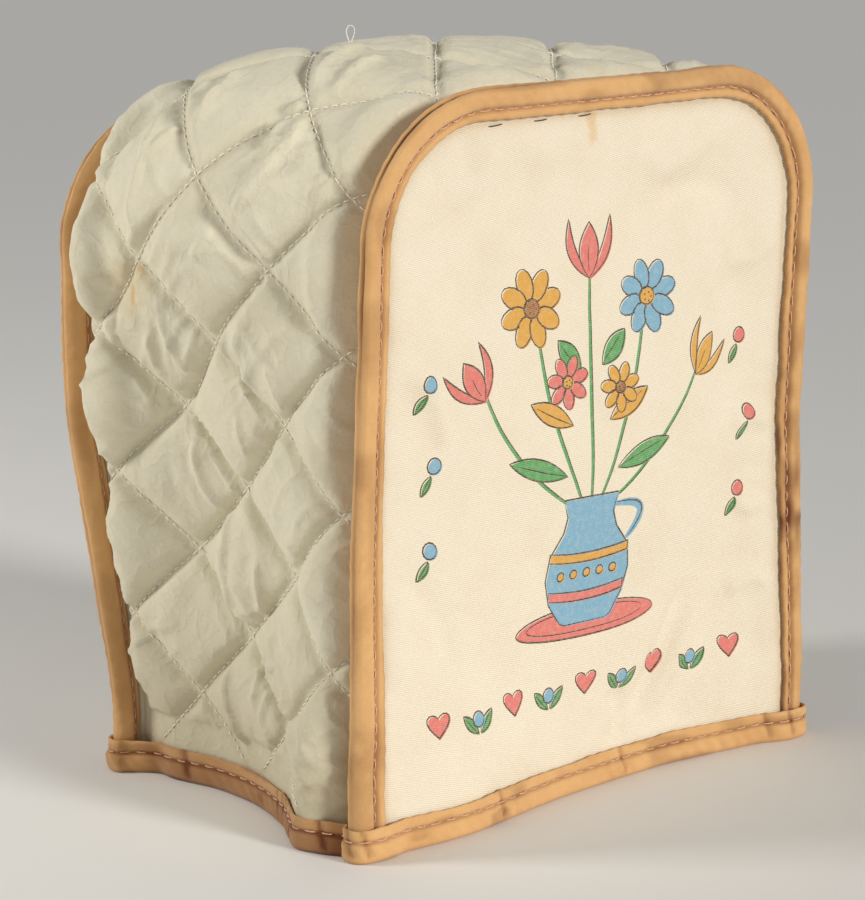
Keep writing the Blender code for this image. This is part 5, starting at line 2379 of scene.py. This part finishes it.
def grow(name: str, base: bpy.types.Mesh, tree: NodeTree, values: dict[str, Any]) -> Object:
    """Run a Geometry Nodes tree on a mesh and keep its result as a plain mesh.

    Args:
        name: Name of the new object.
        base: The mesh that the tree starts from.
        tree: The tree.
        values: Its inputs by name.

    Returns:
        The new object, which no modifier changes any more.
    """
    guide = bpy.data.objects.new(name + "_guide", base)
    bpy.context.collection.objects.link(guide)
    modifier = guide.modifiers.new("tree", "NODES")
    modifier.node_group = tree
    for item in tree.interface.items_tree:
        if item.item_type == "SOCKET" and item.in_out == "INPUT" and item.name in values:
            modifier[item.identifier] = values[item.name]
    graph = bpy.context.evaluated_depsgraph_get()
    result = bpy.data.meshes.new_from_object(guide.evaluated_get(graph))
    result.name = name
    bpy.data.objects.remove(guide, do_unlink=True)
    return bpy.data.objects.new(name, result)


@dataclass
class LooseThread:
    """A short end of thread that stands out of the cloth in a small loop."""
    name: str
    length: float
    depth: float
    thickness: float = 0.34
    sides: int = 7
    # The loop's course: to the side and up from its root.
    course: tuple[Point, ...] = (
        (0.0, -0.6), (-0.15, 0.8), (-0.85, 2.7), (-1.25, 4.5), (-0.8, 6.0), (0.15, 6.5), (1.1, 5.8),
        (1.3, 4.4), (0.7, 2.4), (0.25, 0.8), (0.2, -0.6))

    def build(self, strip: QuiltedStrip, finish: Material) -> Object:
        """Make the loop.

        Args:
            strip: The quilted strip on which it stands.
            finish: The thread's material.

        Returns:
            The piece.
        """
        share = np.array([self.length / FRONT.length])
        row = share * (strip.rows - 1)
        every = np.arange(strip.columns)
        depths = read_grid(strip.face, np.repeat(row, strip.columns), every)[:, 1]
        col = np.interp([self.depth], depths, every)
        root = read_grid(strip.face, row, col)[0]
        side, up = unit(np.array([0.77, -0.64, 0.0])), np.array([0.0, 0.0, 1.0])
        fine = curve_through(np.arange(len(self.course)), self.course,
                             np.linspace(0, len(self.course) - 1, 60))
        line = root + fine[:, :1] * side + fine[:, 1:] * up
        line += np.cross(side, up) * (0.35 * np.sin(np.linspace(0, 5, 60)))[:, None]
        way = unit(np.gradient(line, axis=0))
        across = unit(np.cross(way, np.cross(side, up)))
        over = np.cross(way, across)
        angle = np.linspace(0, math.tau, self.sides, endpoint=False)[None, :, None]
        sections = line[:, None] + self.thickness / 2 * (
            across[:, None] * np.cos(angle) + over[:, None] * np.sin(angle))
        shell = loft(sections, arc_lengths(line, closed=False), np.arange(self.sides + 1) * 0.15)
        return make_piece(self.name, shell.outward(), finish, Slot.MUSLIN)


class LintTree(StrandTree):
    """Geometry Nodes tree that scatters short loose fibres over cloth."""

    def __init__(self) -> None:
        """Name the tree and its inputs."""
        super().__init__("loose_fibres", ("Density", "Length", "Thickness"))

    def build(self) -> NodeTree:
        """Build the tree.

        Returns:
            A tree with inputs for the density, the fibre's sizes, a seed and a finish.
        """
        start = self.start
        spread = self.add("GeometryNodeDistributePointsOnFaces",
                          {"Mesh": start["Geometry"], "Density": start["Density"],
                           "Seed": start["Seed"]}, distribute_method="RANDOM").outputs
        reach = start["Length"]
        course = (self.place(z=self.times(reach, -0.1)),
                  self.place(self.times(reach, 0.15), z=self.times(reach, 0.6)),
                  self.place(self.times(reach, 0.75), z=self.times(reach, 0.45)))
        fibre = self.strand(course, 3, self.times(start["Thickness"], 0.5))
        angles = self.random((-0.9, -0.9, 0.0), (0.9, 0.9, math.tau), "FLOAT_VECTOR")
        turn = self.add("FunctionNodeEulerToRotation", {0: angles}).outputs[0]
        return self.set_down(spread["Points"], fibre, spread["Rotation"], turn,
                             self.random(0.4, 1.3))


@dataclass
class Lint:
    """Loose fibres that stand out of the quilted strip."""
    name: str = "muslin_fibres"
    density: float = 36000.0
    length: float = 1.3
    thickness: float = 0.05
    step: int = 6
    seed: int = 17

    def build(self, strip: QuiltedStrip, tree: NodeTree, finish: Material) -> Object:
        """Scatter the fibres.

        Args:
            strip: The settled strip.
            tree: The fibres' node tree.
            finish: Their material.

        Returns:
            The piece.
        """
        grid = strip.face[12:-12:self.step, 3:-3:self.step]
        rows, columns = grid.shape[:2]
        faces = [(i * columns + k, (i + 1) * columns + k, (i + 1) * columns + k + 1,
                  i * columns + k + 1) for i in range(rows - 1) for k in range(columns - 1)]
        mesh = bpy.data.meshes.new(self.name + "_ground")
        mesh.from_pydata(((grid.reshape(-1, 3) - BASE_MIDDLE) * MM).tolist(), [], faces)
        values = {"Density": self.density, "Length": self.length * MM,
                  "Thickness": self.thickness * MM, "Seed": self.seed, "Finish": finish}
        return enlist(grow(self.name, mesh, tree, values), Slot.MUSLIN)


# ---- studio ----
class LampKind(Enum):
    """Kinds of lamp, with the property that holds their size (in radians or metres)."""
    SUN = "angle"
    AREA = "size"


@dataclass(frozen=True)
class Lamp:
    """A soft light."""
    name: str
    kind: LampKind
    place: Triple
    target: Triple
    size: float
    power: float
    colour: Triple = (1.0, 0.985, 0.95)


@dataclass
class Studio:
    """Pale floor, soft lights and the camera."""
    eye: Triple = (-0.633, -0.744, 0.314)
    target: Triple = (-0.0096, -0.0004, 0.1073)
    lens: float = 120.0
    floor_size: float = 24.0
    ambient: float = 0.24
    lamps: tuple[Lamp, ...] = (
        Lamp("front_light", LampKind.SUN, (0.36, -1.6, 0.52), (0.0, 0.0, 0.0), 0.25, 2.35,
             (1.0, 0.985, 0.955)),
        Lamp("side_light", LampKind.AREA, (-0.80, 0.48, 0.54), (-0.1, 0.0, 0.12), 0.25, 4.8),
        Lamp("fill_light", LampKind.AREA, (-0.95, -0.6, 0.35), (-0.1, 0.0, 0.12), 0.5, 0.35),
    )

    @staticmethod
    def aim(item: Object, place: Sequence[float], target: Sequence[float]) -> None:
        """Put an object at a place, its -Z axis on a target.

        Args:
            item: The object.
            place: Where it stands.
            target: What it looks at.
        """
        item.location = place
        way = Vector(target) - Vector(place)
        item.rotation_euler = way.to_track_quat("-Z", "Y").to_euler()

    def build(self) -> None:
        """Make the floor, the world, the lights and the camera."""
        half = self.floor_size / 2
        mesh = bpy.data.meshes.new("floor")
        mesh.from_pydata([(-half, -half, 0), (half, -half, 0), (half, half, 0), (-half, half, 0)],
                         [], [(0, 1, 2, 3)])
        material, _, shader = start_material("pale_floor")
        shader.inputs["Base Color"].default_value = srgb(238, 236, 232)
        shader.inputs["Roughness"].default_value = 0.85
        mesh.materials.append(material)
        floor = bpy.data.objects.new("floor", mesh)
        bpy.context.collection.objects.link(floor)
        world = bpy.context.scene.world or bpy.data.worlds.new("studio")
        bpy.context.scene.world = world
        world.use_nodes = True
        background = world.node_tree.nodes["Background"]
        background.inputs[0].default_value = (1.0, 1.0, 1.0, 1)
        background.inputs[1].default_value = self.ambient
        for lamp in self.lamps:
            light = bpy.data.lights.new(lamp.name, lamp.kind.name)
            light.energy, light.color = lamp.power, lamp.colour
            setattr(light, lamp.kind.value, lamp.size)
            item = bpy.data.objects.new(lamp.name, light)
            self.aim(item, lamp.place, lamp.target)
            bpy.context.collection.objects.link(item)
        bpy.context.scene.view_settings.view_transform = "Standard"
        camera = bpy.data.cameras.new("camera")
        camera.lens = self.lens
        camera.clip_end = 60.0
        item = bpy.data.objects.new("camera", camera)
        self.aim(item, self.eye, self.target)
        bpy.context.collection.objects.link(item)
        bpy.context.scene.camera = item


# ---- the whole cover ----
def main() -> None:
    """Build the cover's pieces in order, then its studio."""
    logging.basicConfig(level=logging.INFO, format="%(name)s: %(message)s")
    groups, strip = Groups(), QuiltedStrip()
    strip.settle()
    LOG.info("quilted strip settled")
    strip_piece = strip.build(MUSLIN.build(groups))
    front = Panel("front_cloth", "front_panel", FRONT, Facing.FRONT, FRONT_DIMPLES, FRONT_CREASES,
                  PrintedDesign().compose(), seed=3)
    front_piece = front.build(PRINTED_CANVAS.build(groups))
    back = Panel("back_cloth", "back_panel", BACK, Facing.BACK, BACK_DIMPLES, BACK_CREASES, seed=8)
    back_piece = back.build(CANVAS.build(groups))
    tape_cloth = TAPE.build(groups)
    front_tape = SeamTape("front_tape", "front_binding", FRONT, seed=31, soiled=(
        (0.84, 0.11, 0.38), (0.872, 0.012, 0.4), (0.05, 0.015, 0.4), (0.53, 0.008, 0.2)))
    back_tape = SeamTape("back_tape", "back_binding", BACK, seed=47)
    hem = HemTape()
    hem.settle(strip)
    for tape in (front_tape, back_tape):
        tape.settle()
        tape.build(tape_cloth)
    hem_piece = hem.build(tape_cloth)
    stitches = StitchTree().build()
    pale, rose, brown = PALE_THREAD.build(), ROSE_THREAD.build(), BROWN_THREAD.build()
    quilting = Stitching("quilting_stitches", Slot.MUSLIN, pitch=2.9, length=2.1, thread=0.22,
                         sink=0.15, lift=0.95, seed=5).build(stitches, pale, strip.stitch_lines())
    for tape, seed in ((front_tape, 8), (back_tape, 9), (hem, 12)):
        row = Stitching(tape.stitches, Slot.TAPE, tape.pitch, length=4.3, thread=0.26, sink=0.3,
                        lift=1.0, seed=seed)
        row.build(stitches, rose, tape.stitch_lines())
    basting_line = np.stack([np.linspace(-31, 6.0, 30), np.linspace(220.6, 221.4, 30)], -1)
    basting = Stitching("basting_stitches", Slot.CANVAS, pitch=16.5, length=5.0, thread=0.22,
                        sink=0.15, lift=0.8, seed=3).build(
        stitches, brown, [front.on_face(basting_line, 0.05)])
    loop = LooseThread("thread_loop", 263.0, 0.0).build(strip, pale)
    lint = Lint().build(strip, LintTree().build(), pale)
    Studio().build()


if __name__ == "__main__":
    main()
